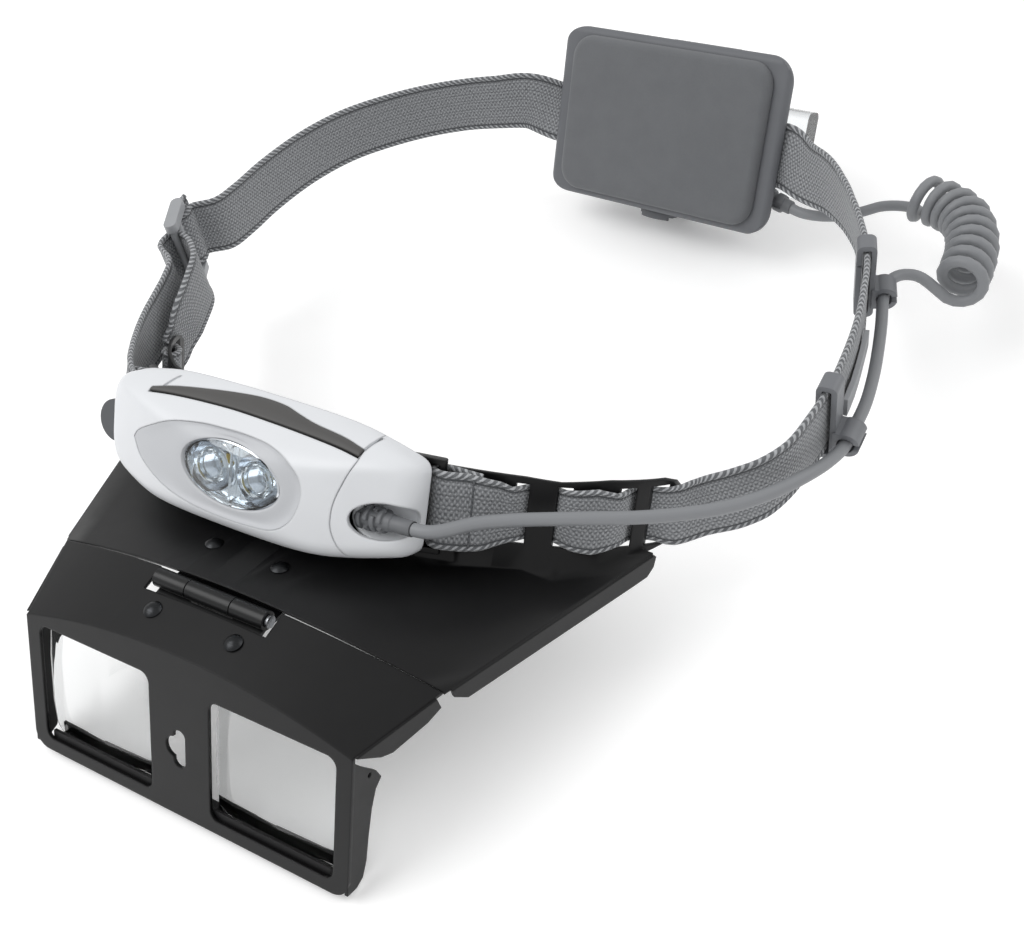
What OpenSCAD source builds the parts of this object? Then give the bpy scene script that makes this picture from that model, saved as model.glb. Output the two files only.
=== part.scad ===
// Lighted headband magnifier: a sheet visor with a hinged lens frame, a white
// headlamp on an elastic band, a rear battery box and the curled lead between them.
// Millimetres. X runs to the wearer's left, Y to the back of the head, Z up.
// The origin is the middle of the headband ring at mid strap height.

/* [Strap] */
// Width of the elastic strap
strap_w = 22; // [18:0.5:26]
// Thickness of the elastic strap
strap_t = 1.4; // [1:0.1:2.4]
// Strap width where it is gathered through a slot
gather_w = 15.6; // [13:0.2:16.4]

/* [Visor sheet] */
// Sheet metal thickness
sheet_t = 1; // [0.6:0.1:1.4]
// Arch radius of the front plate
arch_r = 228; // [200:2:300]
// Half width of the plates at the hinge seam
seam_half = 63; // [58:0.5:68]
// Half width of the rear plate at the forehead wall
rear_half = 87; // [82:0.5:92]
// Depth of the folded side flanges
flange_h = 6.5; // [4:0.5:9]

/* [Forehead wall] */
// Lean of the wall towards the back of the head
wall_tilt = 28; // [20:1:34]
// Radius of the wall round the forehead
wall_r = 140; // [120:1:160]
// Height of the wall above the plate corners
wall_h = 20.5; // [18:0.5:24]
// Radius of the wall ends round the temples
end_r = 60; // [50:1:80]
// Half width of the wall
wall_half = 88.8; // [86:0.2:92]

/* [Lens frame] */
// Width of the lens frame
frame_w = 108; // [100:0.5:116]
// Height of the lens frame below the fold ends
frame_h = 42.3; // [38:0.1:46]
// Lean of the frame, bottom edge forwards
frame_lean = 26; // [18:1:32]
// Width of each window
window_w = 39.4; // [34:0.2:42]
// Height of each window
window_h = 36.2; // [32:0.2:38]
// Distance between the window centres
window_pitch = 59.4; // [56:0.2:64]

/* [Hinge] */
// Diameter of the hinge pin
pin_d = 2.4; // [1.8:0.1:3]
// Outside diameter of the knuckles
knuckle_d = 5.2; // [4.4:0.1:6]
// Length of the whole hinge barrel
barrel_l = 36.4; // [30:0.2:40]
// Length of the middle knuckle
mid_knuckle_l = 14.6; // [10:0.2:18]

/* [Headlamp] */
// Length of the lamp body
lamp_l = 104; // [96:1:116]
// Height of the lamp body at its middle
lamp_h = 38.5; // [34:0.5:42]
// Depth of the lamp body
lamp_d = 19; // [16:0.5:22]
// Tilt of the lamp, lens upwards
lamp_tilt = 32; // [24:1:40]
// Wall thickness of the lamp shell
shell_t = 1.6; // [1.2:0.1:2.4]

/* [Battery box] */
// Length of the head pad
pad_l = 81; // [68:1:84]
// Height of the head pad
pad_h = 55.6; // [50:0.2:58]
// Margin of the base beside the pad
side_margin = 5.7; // [4:0.1:9]
// Margin of the base above and below the pad
pad_margin = 2.5; // [2:0.1:6]
// Length of the battery case
case_l = 66; // [60:1:72]
// Thickness of the battery case behind the strap
case_d = 17.6; // [15:0.2:22]
// Tilt of the box, pad upwards
box_tilt = 26; // [18:0.5:30]
// Diameter of one cell
cell_d = 10.4; // [10:0.1:10.6]
// Length of one cell
cell_l = 44.4; // [44:0.1:44.6]

/* [Cord] */
// Diameter of the cord
cord_d = 3.6; // [3:0.1:4.4]
// Mean radius of the curls
curl_r = 6.5; // [5:0.1:8]
// Number of curls
curls = 10; // [6:1:11]

/* [Hidden] */
$fn = 48;
eps = 0.01;
// Longer than the part, for cuts that go right through it
through = 240;

black = [0.13, 0.13, 0.14];
steel = [0.55, 0.56, 0.58];
white = [0.87, 0.88, 0.90];
mid_grey = [0.42, 0.42, 0.43];
dark_grey = [0.34, 0.34, 0.35];
pale_grey = [0.62, 0.63, 0.64];
cloth_grey = [0.41, 0.42, 0.43];
cord_grey = [0.48, 0.49, 0.50];
clear = [0.85, 0.92, 0.96, 0.45];
copper = [0.80, 0.52, 0.30];
amber = [0.90, 0.78, 0.25];
green = [0.16, 0.36, 0.24];

// Placing frames
seam_y = -146.6;
seam_z = -2.2;
rear_run = 65.8;
rear_drop = 10.2;
arch_rise = arch_r - sqrt(arch_r * arch_r - seam_half * seam_half);
crown_z = seam_z + arch_rise;
front_pitch = 3.6;
fold_y = -171;
fold_z = -0.8;
wall_q0 = -100;
wall_w0 = -49.5;
lamp_pos = [-13, -104.7, 9.6];
box_pos = [12.7, 86.8, 2.9];
box_yaw = -8;
box_roll = -2.6;
strap_depth = 7.9;
run_gap = 0.14;
press_gap = 0.02;

module at_wall() rotate([-wall_tilt, 0, 0]) children();
module at_lamp() translate(lamp_pos) rotate([-lamp_tilt, 0, 0]) children();
module at_box() translate(box_pos) rotate([0, 0, box_yaw]) rotate([-box_tilt, 0, 0])
    rotate([0, box_roll, 0]) children();
module at_front_plate() translate([0, seam_y, crown_z]) rotate([front_pitch, 0, 0]) children();
module at_lens_frame() translate([0, fold_y, fold_z]) rotate([-frame_lean, 0, 0]) children();
module both_sides() { children(); mirror([1, 0, 0]) children(); }

function rx(a, p) = [p[0], p[1] * cos(a) - p[2] * sin(a), p[1] * sin(a) + p[2] * cos(a)];
function ry(a, p) = [p[0] * cos(a) + p[2] * sin(a), p[1], -p[0] * sin(a) + p[2] * cos(a)];
function rz(a, p) = [p[0] * cos(a) - p[1] * sin(a), p[0] * sin(a) + p[1] * cos(a), p[2]];
function box_pt(p) = box_pos + rz(box_yaw, rx(-box_tilt, ry(box_roll, p)));
function lamp_pt(p) = lamp_pos + rx(-lamp_tilt, p);
function unit(v) = v / norm(v);

// Plan of the forehead wall: a wide arc, then a tighter arc round each temple
end_x = 60;
end_turn = asin(end_x / wall_r);
wall_c = wall_q0 + wall_r;
end_c = [end_x - end_r * sin(end_turn), wall_c - (wall_r - end_r) * cos(end_turn)];
function wall_turn(x) = abs(x) < end_x ? asin(abs(x) / wall_r) : asin((abs(x) - end_c[0]) / end_r);
// Point on the wall at cross position x, inset behind its front face, height w
function wall_pt(x, inset, w) = let (a = wall_turn(x), s = sign(x))
    rx(-wall_tilt, abs(x) < end_x
        ? [s * (wall_r - inset) * sin(a), wall_c - (wall_r - inset) * cos(a), w]
        : [s * (end_c[0] + (end_r - inset) * sin(a)), end_c[1] - (end_r - inset) * cos(a), w]);
// Rounded rectangle from plain circles and squares
module rrect(w, h, r) {
    square([w - 2 * r, h], center = true);
    square([w, h - 2 * r], center = true);
    for (sx = [-1, 1], sy = [-1, 1])
        translate([sx * (w / 2 - r), sy * (h / 2 - r)]) circle(r = r);
}

// Slab lying along Y: outline in X and Z, front face at y0, thickness t backwards
module slab_y(y0, t) translate([0, y0 + t, 0]) rotate([90, 0, 0]) linear_extrude(t) children();

// Closed band through stations of four corner points each
module band(quads) {
    n = len(quads);
    pts = [for (q = quads) each q];
    sides = [for (i = [0 : n - 2], k = [0 : 3])
        each [[4 * i + k, 4 * i + (k + 1) % 4, 4 * i + 4 + (k + 1) % 4],
              [4 * i + k, 4 * i + 4 + (k + 1) % 4, 4 * i + 4 + k]]];
    caps = [[0, 2, 1], [0, 3, 2],
            [4 * n - 4, 4 * n - 3, 4 * n - 2], [4 * n - 4, 4 * n - 2, 4 * n - 1]];
    polyhedron(points = pts, faces = concat(sides, caps));
}

// Tube through points with a given number of sides; ref gives a side direction per point
module tube(pts, refs, r, sides) {
    n = len(pts);
    ring = [for (i = [0 : n - 1])
        let (run = unit(pts[min(i + 1, n - 1)] - pts[max(i - 1, 0)]),
             u = unit(refs[i] - run * (refs[i] * run)),
             v = cross(run, u))
        each [for (k = [0 : sides - 1])
            pts[i] + u * r * cos(360 * k / sides) + v * r * sin(360 * k / sides)]];
    skin = [for (i = [0 : n - 2], k = [0 : sides - 1])
        let (k2 = (k + 1) % sides)
        each [[sides * i + k, sides * (i + 1) + k2, sides * i + k2],
              [sides * i + k, sides * (i + 1) + k, sides * (i + 1) + k2]]];
    first = [for (k = [0 : sides - 1]) k];
    last = [for (k = [sides - 1 : -1 : 0]) sides * (n - 1) + k];
    polyhedron(points = ring, faces = concat(skin, [first, last]));
}
// Smooth curve through hand chosen points
function spline(p, steps) = [for (i = [0 : len(p) - 2], k = [0 : steps - 1])
    let (a = p[max(i - 1, 0)], b = p[i], c = p[i + 1], d = p[min(i + 2, len(p) - 1)],
         t = k / steps)
    0.5 * (2 * b + (c - a) * t + (2 * a - 5 * b + 4 * c - d) * t * t
        + (3 * b - a - 3 * c + d) * t * t * t)];
function curve(p, steps) = concat(spline(p, steps), [p[len(p) - 1]]);

// Rear plate: ruled sheet from the arched hinge seam to the flat forehead corners
function plate_edge(t) = seam_half + (rear_half - seam_half) * t;
function plate_z(x, t) = seam_z - rear_drop * t
    + arch_rise * (1 - t) * (1 - pow(x / plate_edge(t), 2));
module ruled_slab(t0, t1, over, up, down) {
    nt = 6;
    nx = 16;
    grid = [for (dz = [-down, up], i = [0 : nt], j = [0 : nx])
        let (t = t0 + (t1 - t0) * i / nt,
             x = (plate_edge(t) + over) * (2 * j / nx - 1))
        [x, seam_y + rear_run * t, plate_z(x, t) + dz]];
    m = (nt + 1) * (nx + 1);
    w = nx + 1;
    low = [for (i = [0 : nt - 1], j = [0 : nx - 1]) let (a = i * w + j)
        each [[a, a + 1, a + w + 1], [a, a + w + 1, a + w]]];
    high = [for (f = low) [f[0] + m, f[2] + m, f[1] + m]];
    front = [for (j = [0 : nx - 1]) each [[j, m + j + 1, j + 1], [j, m + j, m + j + 1]]];
    back = [for (j = [0 : nx - 1]) let (a = nt * w + j)
        each [[a, a + 1, m + a + 1], [a, m + a + 1, m + a]]];
    left = [for (i = [0 : nt - 1]) let (a = i * w)
        each [[a, a + w, m + a + w], [a, m + a + w, m + a]]];
    right = [for (i = [0 : nt - 1]) let (a = i * w + nx)
        each [[a, m + a + w, a + w], [a, m + a, m + a + w]]];
    polyhedron(points = grid, faces = concat(low, high, front, back, left, right));
}

seam_lap = 0.25;
slot_h = 17;
slots = [[56, 59.4], [65.7, 69.1], [78.4, 81.6], [84.1, 87.2]];
// Shell of the wall between two depths behind its front face
module wall_plan(inset) {
    intersection() {
        translate([0, wall_c]) circle(r = wall_r - inset, $fn = 240);
        translate([-end_x, wall_q0 - 5]) square([2 * end_x, wall_r]);
    }
    both_sides() intersection() {
        translate(end_c) circle(r = end_r - inset, $fn = 240);
        translate([end_x - 0.01, wall_q0 - 5]) square([40, 105]);
    }
}
wall_profile = [[-wall_half, -14], [wall_half, -14], [wall_half, wall_h - 3.6],
    [wall_half - 1, wall_h - 1.2], [wall_half - 3, wall_h], [76, wall_h + 0.4],
    [66, wall_h - 0.6], [58, wall_h], [-58, wall_h], [-66, wall_h - 0.6],
    [-76, wall_h + 0.4], [3 - wall_half, wall_h], [1 - wall_half, wall_h - 1.2],
    [-wall_half, wall_h - 3.6]];
module wall_shell() intersection() {
    at_wall() difference() {
        translate([0, 0, wall_w0 - 14]) linear_extrude(wall_h + 16) difference() {
            wall_plan(0);
            wall_plan(sheet_t);
        }
        for (s = [-1, 1], x = slots)
            translate([s * (x[0] + x[1]) / 2, wall_q0 + 40, wall_w0 + wall_h / 2])
                cube([x[1] - x[0], 100, slot_h], center = true);
    }
    at_wall() translate([0, 0, wall_w0]) rotate([90, 0, 0])
        linear_extrude(through, center = true) polygon(wall_profile);
    ruled_slab(0, 1.5, 4, 60, sheet_t + seam_lap);
}
edge_run = sqrt(pow(rear_half - seam_half, 2) + pow(rear_run, 2));
edge_yaw = atan2(rear_run, rear_half - seam_half);
module rear_flange() translate([seam_half, seam_y, seam_z]) rotate([0, 0, edge_yaw])
    rotate([90, 0, 0]) linear_extrude(sheet_t)
        polygon([[2.4, -0.9], [edge_run - 0.4, -rear_drop - 0.5],
            [edge_run + 0.5, -rear_drop - 1.4],
            [edge_run - 0.8, -rear_drop - 4.6], [edge_run - 3.4, -rear_drop - flange_h],
            [edge_run - 8, -rear_drop - flange_h + 0.6], [6, -flange_h - 1], [2.4, -3.5]]);
hinge_x = -2.7;
hinge_y = -150.2;
hinge_z = crown_z - 0.9;
leaf_t = 1;
leaf_gap = 0.25;
rear_rivet_x = [-17, 5.7];
rear_rivet_y = -133.4;
front_rivet_x = [-15.5, 11.4];
front_rivet_y = -159.2;
rivet_d = 2.6;
rear_slope = atan2(plate_z(0, 0) - plate_z(0, 0.25), rear_run * 0.25);
function rear_rivet_z(x) = plate_z(x, (rear_rivet_y - seam_y) / rear_run);
module rear_plate() color(black) {
    difference() {
        union() {
            difference() {
                ruled_slab(0.006, 1, seam_lap, 0, sheet_t);
                at_wall() translate([0, 0, -through / 2]) linear_extrude(through)
                    wall_plan(sheet_t - seam_lap);
            }
            both_sides() rear_flange();
            wall_shell();
        }
        for (x = rear_rivet_x) translate([x, rear_rivet_y, rear_rivet_z(x)])
            rotate([-rear_slope, 0, 0]) cylinder(d = rivet_d + 0.2, h = 12, center = true);
        translate([hinge_x, hinge_y, hinge_z]) rotate([0, 90, 0])
            cylinder(d = knuckle_d + 1.2, h = barrel_l + 3, center = true);
    }
}

// Hinge: two leaves with rolled knuckles on one pin
side_knuckle_l = (barrel_l - mid_knuckle_l) / 2 - 0.3;
leaf_w = 35;
module knuckle(l, gap) rotate([0, 90, 0]) difference() {
    cylinder(d = knuckle_d, h = l, center = true);
    cylinder(d = pin_d + gap, h = l + 2, center = true);
}
rear_leaf_l = 19;
rear_leaf_drop = leaf_t + leaf_gap + 0.9;
module rear_hinge_leaf() color(black) translate([hinge_x, hinge_y, hinge_z]) {
    knuckle(mid_knuckle_l, press_gap);
    translate([-mid_knuckle_l / 2, 0.4, -3.2]) cube([mid_knuckle_l, 2.8, 1.4]);
    difference() {
        translate([0, 0, -rear_leaf_drop]) rotate([-rear_slope, 0, 0])
            translate([-leaf_w / 2, 1, -leaf_t]) cube([leaf_w, rear_leaf_l, leaf_t]);
        rotate([0, 90, 0]) cylinder(d = knuckle_d - 0.6, h = barrel_l, center = true);
        for (s = [-1, 1]) translate([s * (mid_knuckle_l / 2 + side_knuckle_l / 2 + 1.2), 0, 0])
            rotate([0, 90, 0])
                cylinder(d = knuckle_d + 0.9, h = side_knuckle_l + 2, center = true);
        for (x = rear_rivet_x)
            translate([x - hinge_x, rear_rivet_y - hinge_y, rear_rivet_z(x) - hinge_z])
                rotate([-rear_slope, 0, 0]) cylinder(d = rivet_d + 0.2, h = 20, center = true);
    }
}
front_leaf_l = 14;
front_leaf_drop = leaf_gap + 1.65;
module front_hinge_leaf() color(black) translate([hinge_x, hinge_y, hinge_z]) {
    for (s = [-1, 1]) translate([s * (mid_knuckle_l / 2 + 0.3 + side_knuckle_l / 2), 0, 0])
        knuckle(side_knuckle_l, run_gap);
    difference() {
        rotate([front_pitch, 0, 0])
            translate([-leaf_w / 2, -front_leaf_l - 1, -leaf_t - front_leaf_drop])
                cube([leaf_w, front_leaf_l, leaf_t]);
        rotate([0, 90, 0]) cylinder(d = pin_d + 0.6, h = barrel_l, center = true);
        rotate([0, 90, 0]) cylinder(d = knuckle_d + 0.9, h = mid_knuckle_l + 0.5, center = true);
        for (x = front_rivet_x)
            translate([x - hinge_x, front_rivet_y - hinge_y, front_rivet_z(x) - hinge_z])
                rotate([front_pitch, 0, 0]) cylinder(d = rivet_d + 0.2, h = 20, center = true);
    }
}
module hinge_pin() color(steel) translate([hinge_x, hinge_y, hinge_z]) rotate([0, 90, 0]) {
    cylinder(d = pin_d, h = barrel_l + 0.8, center = true);
    translate([0, 0, barrel_l / 2 + 0.2]) cylinder(d = pin_d + 1, h = 0.8);
}
module rivet(up, down) {
    intersection() {
        translate([0, 0, up - 2.6]) sphere(d = 7.4, $fn = 32);
        translate([0, 0, up]) cylinder(d = 5, h = 2);
    }
    translate([0, 0, -down]) cylinder(d = rivet_d, h = up + down + 0.1);
    translate([0, 0, -down - 0.7]) cylinder(d = 4, h = 0.7);
}
// Depth from the sheet's top face to the underside of a leaf at each rivet
function rear_stack(x) = leaf_t + cos(rear_slope) * (rear_rivet_z(x) - hinge_z
    + rear_leaf_drop + (rear_rivet_y - hinge_y) * tan(rear_slope));
module rear_rivets() color(black) for (x = rear_rivet_x)
    translate([x, rear_rivet_y, rear_rivet_z(x)]) rotate([-rear_slope, 0, 0])
        rivet(0.12, rear_stack(x) + 0.03);
front_drop = (seam_y - front_rivet_y) * tan(front_pitch);
function front_rivet_z(x) = crown_z - arch_r + sqrt(arch_r * arch_r - x * x) - front_drop;
function front_stack(x) = leaf_t + cos(front_pitch) * (front_rivet_z(x) - hinge_z
    + front_leaf_drop - (front_rivet_y - hinge_y) * tan(front_pitch));
module front_rivets() color(black) for (x = front_rivet_x)
    translate([x, front_rivet_y, front_rivet_z(x)]) rotate([front_pitch, 0, 0])
        rivet(0.22, front_stack(x) + 0.03);

// Front plate and lens frame folded from one sheet
side_yaw = atan2(-fold_y + seam_y, seam_half - frame_w / 2);
cutout_l = 41;
fold_lap = 0.2;
fold_half = frame_w / 2 - fold_lap;
module front_sheet() at_front_plate() intersection() {
    difference() {
        rotate([90, 0, 0]) translate([0, -arch_r, 0]) cylinder(r = arch_r, h = 60);
        rotate([90, 0, 0]) translate([0, -arch_r, -1]) cylinder(r = arch_r - sheet_t, h = 62);
    }
    translate([0, 0, -30]) linear_extrude(40)
        polygon([[-seam_half, -0.4], [seam_half, -0.4], [fold_half, fold_y - seam_y],
            [fold_half, -34], [-fold_half, -34], [-fold_half, fold_y - seam_y]]);
}
module window_2d() translate([0, -2.3 - window_h / 2]) rrect(window_w, window_h, 3);
module keyhole_2d() translate([0, -21]) {
    translate([0, 3.6]) circle(r = 2);
    translate([0, -3.8]) circle(r = 2);
    translate([-1.4, 0]) circle(r = 3.2);
    square([4, 7.6], center = true);
}
module frame_sheet() at_lens_frame() slab_y(0, sheet_t) difference() {
    union() {
        translate([-frame_w / 2, -frame_h + 5]) square([frame_w, frame_h + 8]);
        translate([-frame_w / 2 + 5, -frame_h]) square([frame_w - 10, 6]);
        for (s = [-1, 1]) translate([s * (frame_w / 2 - 5), 5 - frame_h]) circle(r = 5);
    }
    for (s = [-1, 1]) translate([s * window_pitch / 2, 0]) window_2d();
    keyhole_2d();
}
return_d = 8;
module side_return() at_lens_frame() translate([fold_half - sheet_t + 0.1, 0, 0])
    rotate([90, 0, 90]) linear_extrude(sheet_t) difference() {
        polygon([[0.3, -1.5], [4.4, -5.2], [10, -9.5], [12.3, -12.7], [10.2, -15], [8.9, -20],
            [8, -28], [7.6, -35], [6.4, -39.4], [4, -frame_h + 1.2], [0.2, -frame_h + 1.2]]);
        translate([7.2, -9.2]) circle(r = 0.7);
    }
module front_flange() translate([frame_w / 2, fold_y, fold_z - 0.2]) rotate([0, 0, side_yaw])
    translate([0, sheet_t / 2, 0]) rotate([90, 0, 0]) linear_extrude(sheet_t)
        polygon([[0.6, -0.4], [24.2, -1.6], [24.6, -flange_h + 1], [20, -flange_h - 0.6],
            [9.2, -flange_h - 1.2], [6.2, -6.2]]);
module bottom_return() at_lens_frame() translate([0, 0.2, -frame_h + 1])
    rotate([90, 0, 90]) translate([0, 0, -frame_w / 2 + 5]) linear_extrude(frame_w - 10)
        polygon([[0, 0], [return_d - 1, 0], [return_d - 1, sheet_t], [0, sheet_t]]);
module lens_visor() color(black) difference() {
    union() {
        difference() {
            front_sheet();
            at_lens_frame() translate([-60, -40, -20]) cube([120, 40, 60]);
        }
        intersection() {
            frame_sheet();
            at_front_plate() rotate([90, 0, 0]) translate([0, -arch_r, -20])
                cylinder(r = arch_r - fold_lap, h = 80);
        }
        both_sides() side_return();
        both_sides() front_flange();
        bottom_return();
    }
    translate([hinge_x, hinge_y + 0.2, crown_z])
        cube([cutout_l, 2 * (seam_y - hinge_y) + 1.6, 12], center = true);
    for (x = front_rivet_x) translate([x, front_rivet_y, crown_z])
        cylinder(d = rivet_d + 0.2, h = 12, center = true);
}

// Rail that seats the lower edges of both lenses behind the windows
lens_t = 3;
lens_y = sheet_t + 1.1;
rail_z = -frame_h + 2.2;
module lens_rail() color(black) at_lens_frame() difference() {
    translate([0, 0, rail_z]) rotate([90, 0, 90]) translate([0, 0, -(frame_w - 12) / 2])
        linear_extrude(frame_w - 12)
            polygon([[sheet_t + 0.05, 0], [7, 0], [7, 4.6], [5.6, 4.6], [5.6, 1.4],
                [lens_y - 0.15, 1.4], [lens_y - 0.15, 4], [sheet_t + 0.05, 4]]);
    translate([0, 4, rail_z + 4]) cube([window_pitch - window_w - 4, 10, 6], center = true);
}
module lens_body() intersection() {
    translate([0, 0, -20.2]) slab_y(lens_y, lens_t) rrect(41, 36.8, 3);
    translate([0, lens_y + 150, -21]) sphere(r = 150.2, $fn = 64);
}
module left_lens() color(clear) at_lens_frame() translate([window_pitch / 2, 0, 0]) lens_body();
module right_lens() color(clear) at_lens_frame() translate([-window_pitch / 2, 0, 0])
    lens_body();

// Elastic band. A station is a point, the direction across the strap there, and its width
mid_w = wall_w0 + wall_h / 2;
front_gap = -(strap_t / 2 + 0.7);
back_gap = sheet_t + strap_t / 2 + 0.8;
in_slot = sheet_t / 2;
wall_up = rx(-wall_tilt, [0, 0, 1]);
box_up = box_pt([0, 0, 1]) - box_pos;
function on_wall(x, inset, w) = concat(wall_pt(x, inset, mid_w), wall_up, [w]);
function in_box(x) = concat(box_pt([x, strap_depth, -2]), box_up, [strap_w]);
// Free station whose upper edge leans out from the head by an angle
function at(x, y, z, lean, w) = let (r = norm([x, y]))
    [x, y, z, sin(lean) * x / r, sin(lean) * y / r, cos(lean), w];
function quad_of(s, a, b) =
    let (run = unit([b[0] - a[0], b[1] - a[1], b[2] - a[2]]),
         lay = [s[3], s[4], s[5]],
         up = unit(lay - run * (lay * run)),
         out = cross(run, up), c = [s[0], s[1], s[2]], w = s[6] / 2, t = strap_t / 2)
    [c - up * w - out * t, c - up * w + out * t, c + up * w + out * t, c + up * w - out * t];
module webbing(st, steps) {
    p = curve(st, steps);
    n = len(p);
    band([for (i = [0 : n - 1]) quad_of(p[i], p[max(i - 1, 0)], p[min(i + 1, n - 1)])]);
}
lug_x = 38.8;
lug_r = 2.3;
lug_in = -3.4;
long_st = [
    on_wall(48.4, lug_in + 1.2, 21), on_wall(45, lug_in + 1.5, 21.6),
    on_wall(42, lug_in + 2, 22), on_wall(lug_x, lug_in + lug_r, 22),
    on_wall(lug_x - lug_r, lug_in, 22), on_wall(lug_x, lug_in - lug_r, 22),
    on_wall(42, lug_in - 2.1, 22), on_wall(45.4, lug_in - 1.2, 22),
    on_wall(49.4, lug_in - 0.7, 20.5), on_wall(53, front_gap - 0.6, 18),
    on_wall(55.6, front_gap, gather_w), on_wall(57.7, in_slot, gather_w),
    on_wall(59.9, back_gap, gather_w), on_wall(65.3, back_gap, gather_w),
    on_wall(67.4, in_slot, gather_w), on_wall(69.6, front_gap, 17),
    on_wall(73.8, front_gap - 0.6, 18.6), on_wall(78, front_gap, gather_w),
    on_wall(80, in_slot, gather_w), on_wall(81.9, back_gap, gather_w),
    on_wall(84.6, back_gap - 0.1, gather_w), on_wall(86.2, in_slot, gather_w),
    on_wall(88, front_gap - 0.5, 17.4), at(94.6, -65.2, -7.6, -10, 19.6),
    at(103, -60.6, -5.2, -5, 21.4), at(109, -55.8, -3, -2, 22), at(113, -48.8, -1.4, 0, 22),
    at(115, -38.6, -0.2, 0, 22), at(115.9, -28, 0, 0, 22),
    at(115.4, -14, 0, 0, 22), at(114, 0, 0, 0, 22), at(111.8, 12, 0, 0, 22),
    at(109, 24, 0, 0, 22), at(105.3, 35, 0, 0, 22), at(100.6, 46, 0, -4, 22),
    at(94.8, 57, 0, -7, 22), at(87.6, 67.4, -0.4, -4, 22), at(78.6, 76.8, -1, 3, 22),
    at(69, 82.8, -1.9, 13, 22), in_box(47), in_box(38), in_box(0),
    in_box(-38), in_box(-48), at(-45.4, 96.6, -0.6, 10, 22), at(-56, 92, 0, 3, 22),
    at(-69, 86.4, 0, 0, 22), at(-82, 77.8, 0, 0, 22), at(-93.4, 67, 0, 0, 22),
    at(-103.2, 54, 0, 0, 22), at(-109.8, 37, 0, 0, 22), at(-112.9, 17, 0, 0, 22),
    at(-113.3, 1, 0, 0, 22), at(-114.4, -9, 0.4, 0, 22)];

// Slide buckle frame: Y points back along the strap, X towards the head
buckle_pos = [-118, -25.4, 0.8];
buckle_yaw = 30;
buckle_bar = 6.6;
module at_buckle() translate(buckle_pos) rotate([0, 0, buckle_yaw]) children();
function bk(x, y, w) = concat(buckle_pos + rz(buckle_yaw, [x, y, 0]), [0, 0, 1, w]);
bar_loop = 2.5;
tail_st = [bk(2.7, 10, 21.6), bk(bar_loop, buckle_bar, 21.6),
    bk(0, buckle_bar - bar_loop, 21.6), bk(-bar_loop, buckle_bar, 21.6),
    bk(-2.4, 11, 21.6), bk(-0.6, 17, 21.6)];
module strap_long() color(cloth_grey) webbing(concat(long_st, tail_st), 2);

bar_r = 1.25;
module slide_buckle() color(pale_grey) at_buckle() {
    for (y = [-buckle_bar, 0, buckle_bar]) translate([0, y, -13]) cylinder(r = bar_r, h = 26);
    for (s = [-1, 1]) translate([0, 0, s * 13.1]) linear_extrude(3, center = true) {
        square([4.4, 2 * buckle_bar], center = true);
        for (e = [-1, 1]) translate([0, e * buckle_bar]) circle(r = 2.2);
    }
}

left_lug = [-64.5, -101.5, 8.2];
left_lean = 30;
left_up = rx(-left_lean, [0, 0, 1]);
function by_lug(x, y, w) = concat(left_lug + rx(-left_lean, [x, y, 0]), left_up, [w]);
loop_st = [
    by_lug(-9.4, 2, 21), by_lug(-4, 2.3, 22),
    by_lug(0, lug_r, 22), by_lug(lug_r, 0, 22),
    by_lug(0, -lug_r, 22), by_lug(-4, -2.2, 22),
    at(-72.8, -102.2, 8.6, -29, 22), at(-78.4, -97.8, 8, -26, 22), at(-84, -90.4, 6.4, -21, 22),
    at(-90, -80.4, 4, -13, 22), at(-94.8, -70.4, 2.4, -7, 22), at(-98.6, -60.4, 1.4, -3, 22),
    at(-102, -51, 1, 0, 22), at(-106.4, -43.4, 0.8, 0, 22), bk(-4, -12, 22),
    bk(-bar_loop, -buckle_bar, 21.6), bk(0, bar_loop - buckle_bar, 21.6),
    bk(bar_loop, -buckle_bar, 21.6), bk(5.4, -10, 22), at(-100.6, -37.6, 0.8, 0, 22),
    at(-96, -46.4, 0.4, 0, 21), at(-93, -55, -1, 0, 19.6), at(-92, -62.4, -4.2, -8, 18),
    on_wall(-88.4, front_gap - 0.9, 17), on_wall(-86.2, in_slot, gather_w),
    on_wall(-84.4, back_gap, gather_w), on_wall(-81.6, back_gap, gather_w),
    on_wall(-80, in_slot - 0.2, gather_w), on_wall(-81.4, front_gap, gather_w),
    on_wall(-84, front_gap, gather_w)];
module strap_loop() color(cloth_grey) webbing(loop_st, 2);

// Cord clips: a loop round the strap with an open tube holder on the outside
clip_l = 6.4;
clip_wall = 1.6;
clip_gap = 0.6;
holder_off = 5.9;
holder_z = -6;
clip_in = strap_w + 2 * clip_gap;
front_clip = [116.25, -28, 0];
front_clip_yaw = 1;
rear_clip = [106.1, 32.8, 0];
rear_clip_yaw = 19.5;
module cord_clip() {
    translate([0, clip_l / 2, 0]) rotate([90, 0, 0]) linear_extrude(clip_l) difference() {
        rrect(strap_t + 2 * clip_gap + 2 * clip_wall, clip_in + 2 * clip_wall, 2);
        rrect(strap_t + 2 * clip_gap, clip_in, 0.5);
        translate([-3, 6]) square([6, 0.9], center = true);
    }
    translate([holder_off, clip_l / 2 + 0.6, holder_z]) rotate([90, 0, 0])
        linear_extrude(clip_l + 1.2) difference() {
            union() {
                circle(d = cord_d + 4.2);
                translate([-2.6, 0]) square([2.4, cord_d + 3.4], center = true);
            }
            circle(d = cord_d + 1.2);
            translate([cord_d, 0]) square([2 * cord_d, 2], center = true);
        }
}
module front_cord_clip() color(mid_grey) translate(front_clip) rotate([0, 0, front_clip_yaw])
    cord_clip();
module rear_cord_clip() color(mid_grey) translate(rear_clip) rotate([0, 0, rear_clip_yaw])
    cord_clip();
strip_off = strap_t / 2 + 1;
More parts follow.
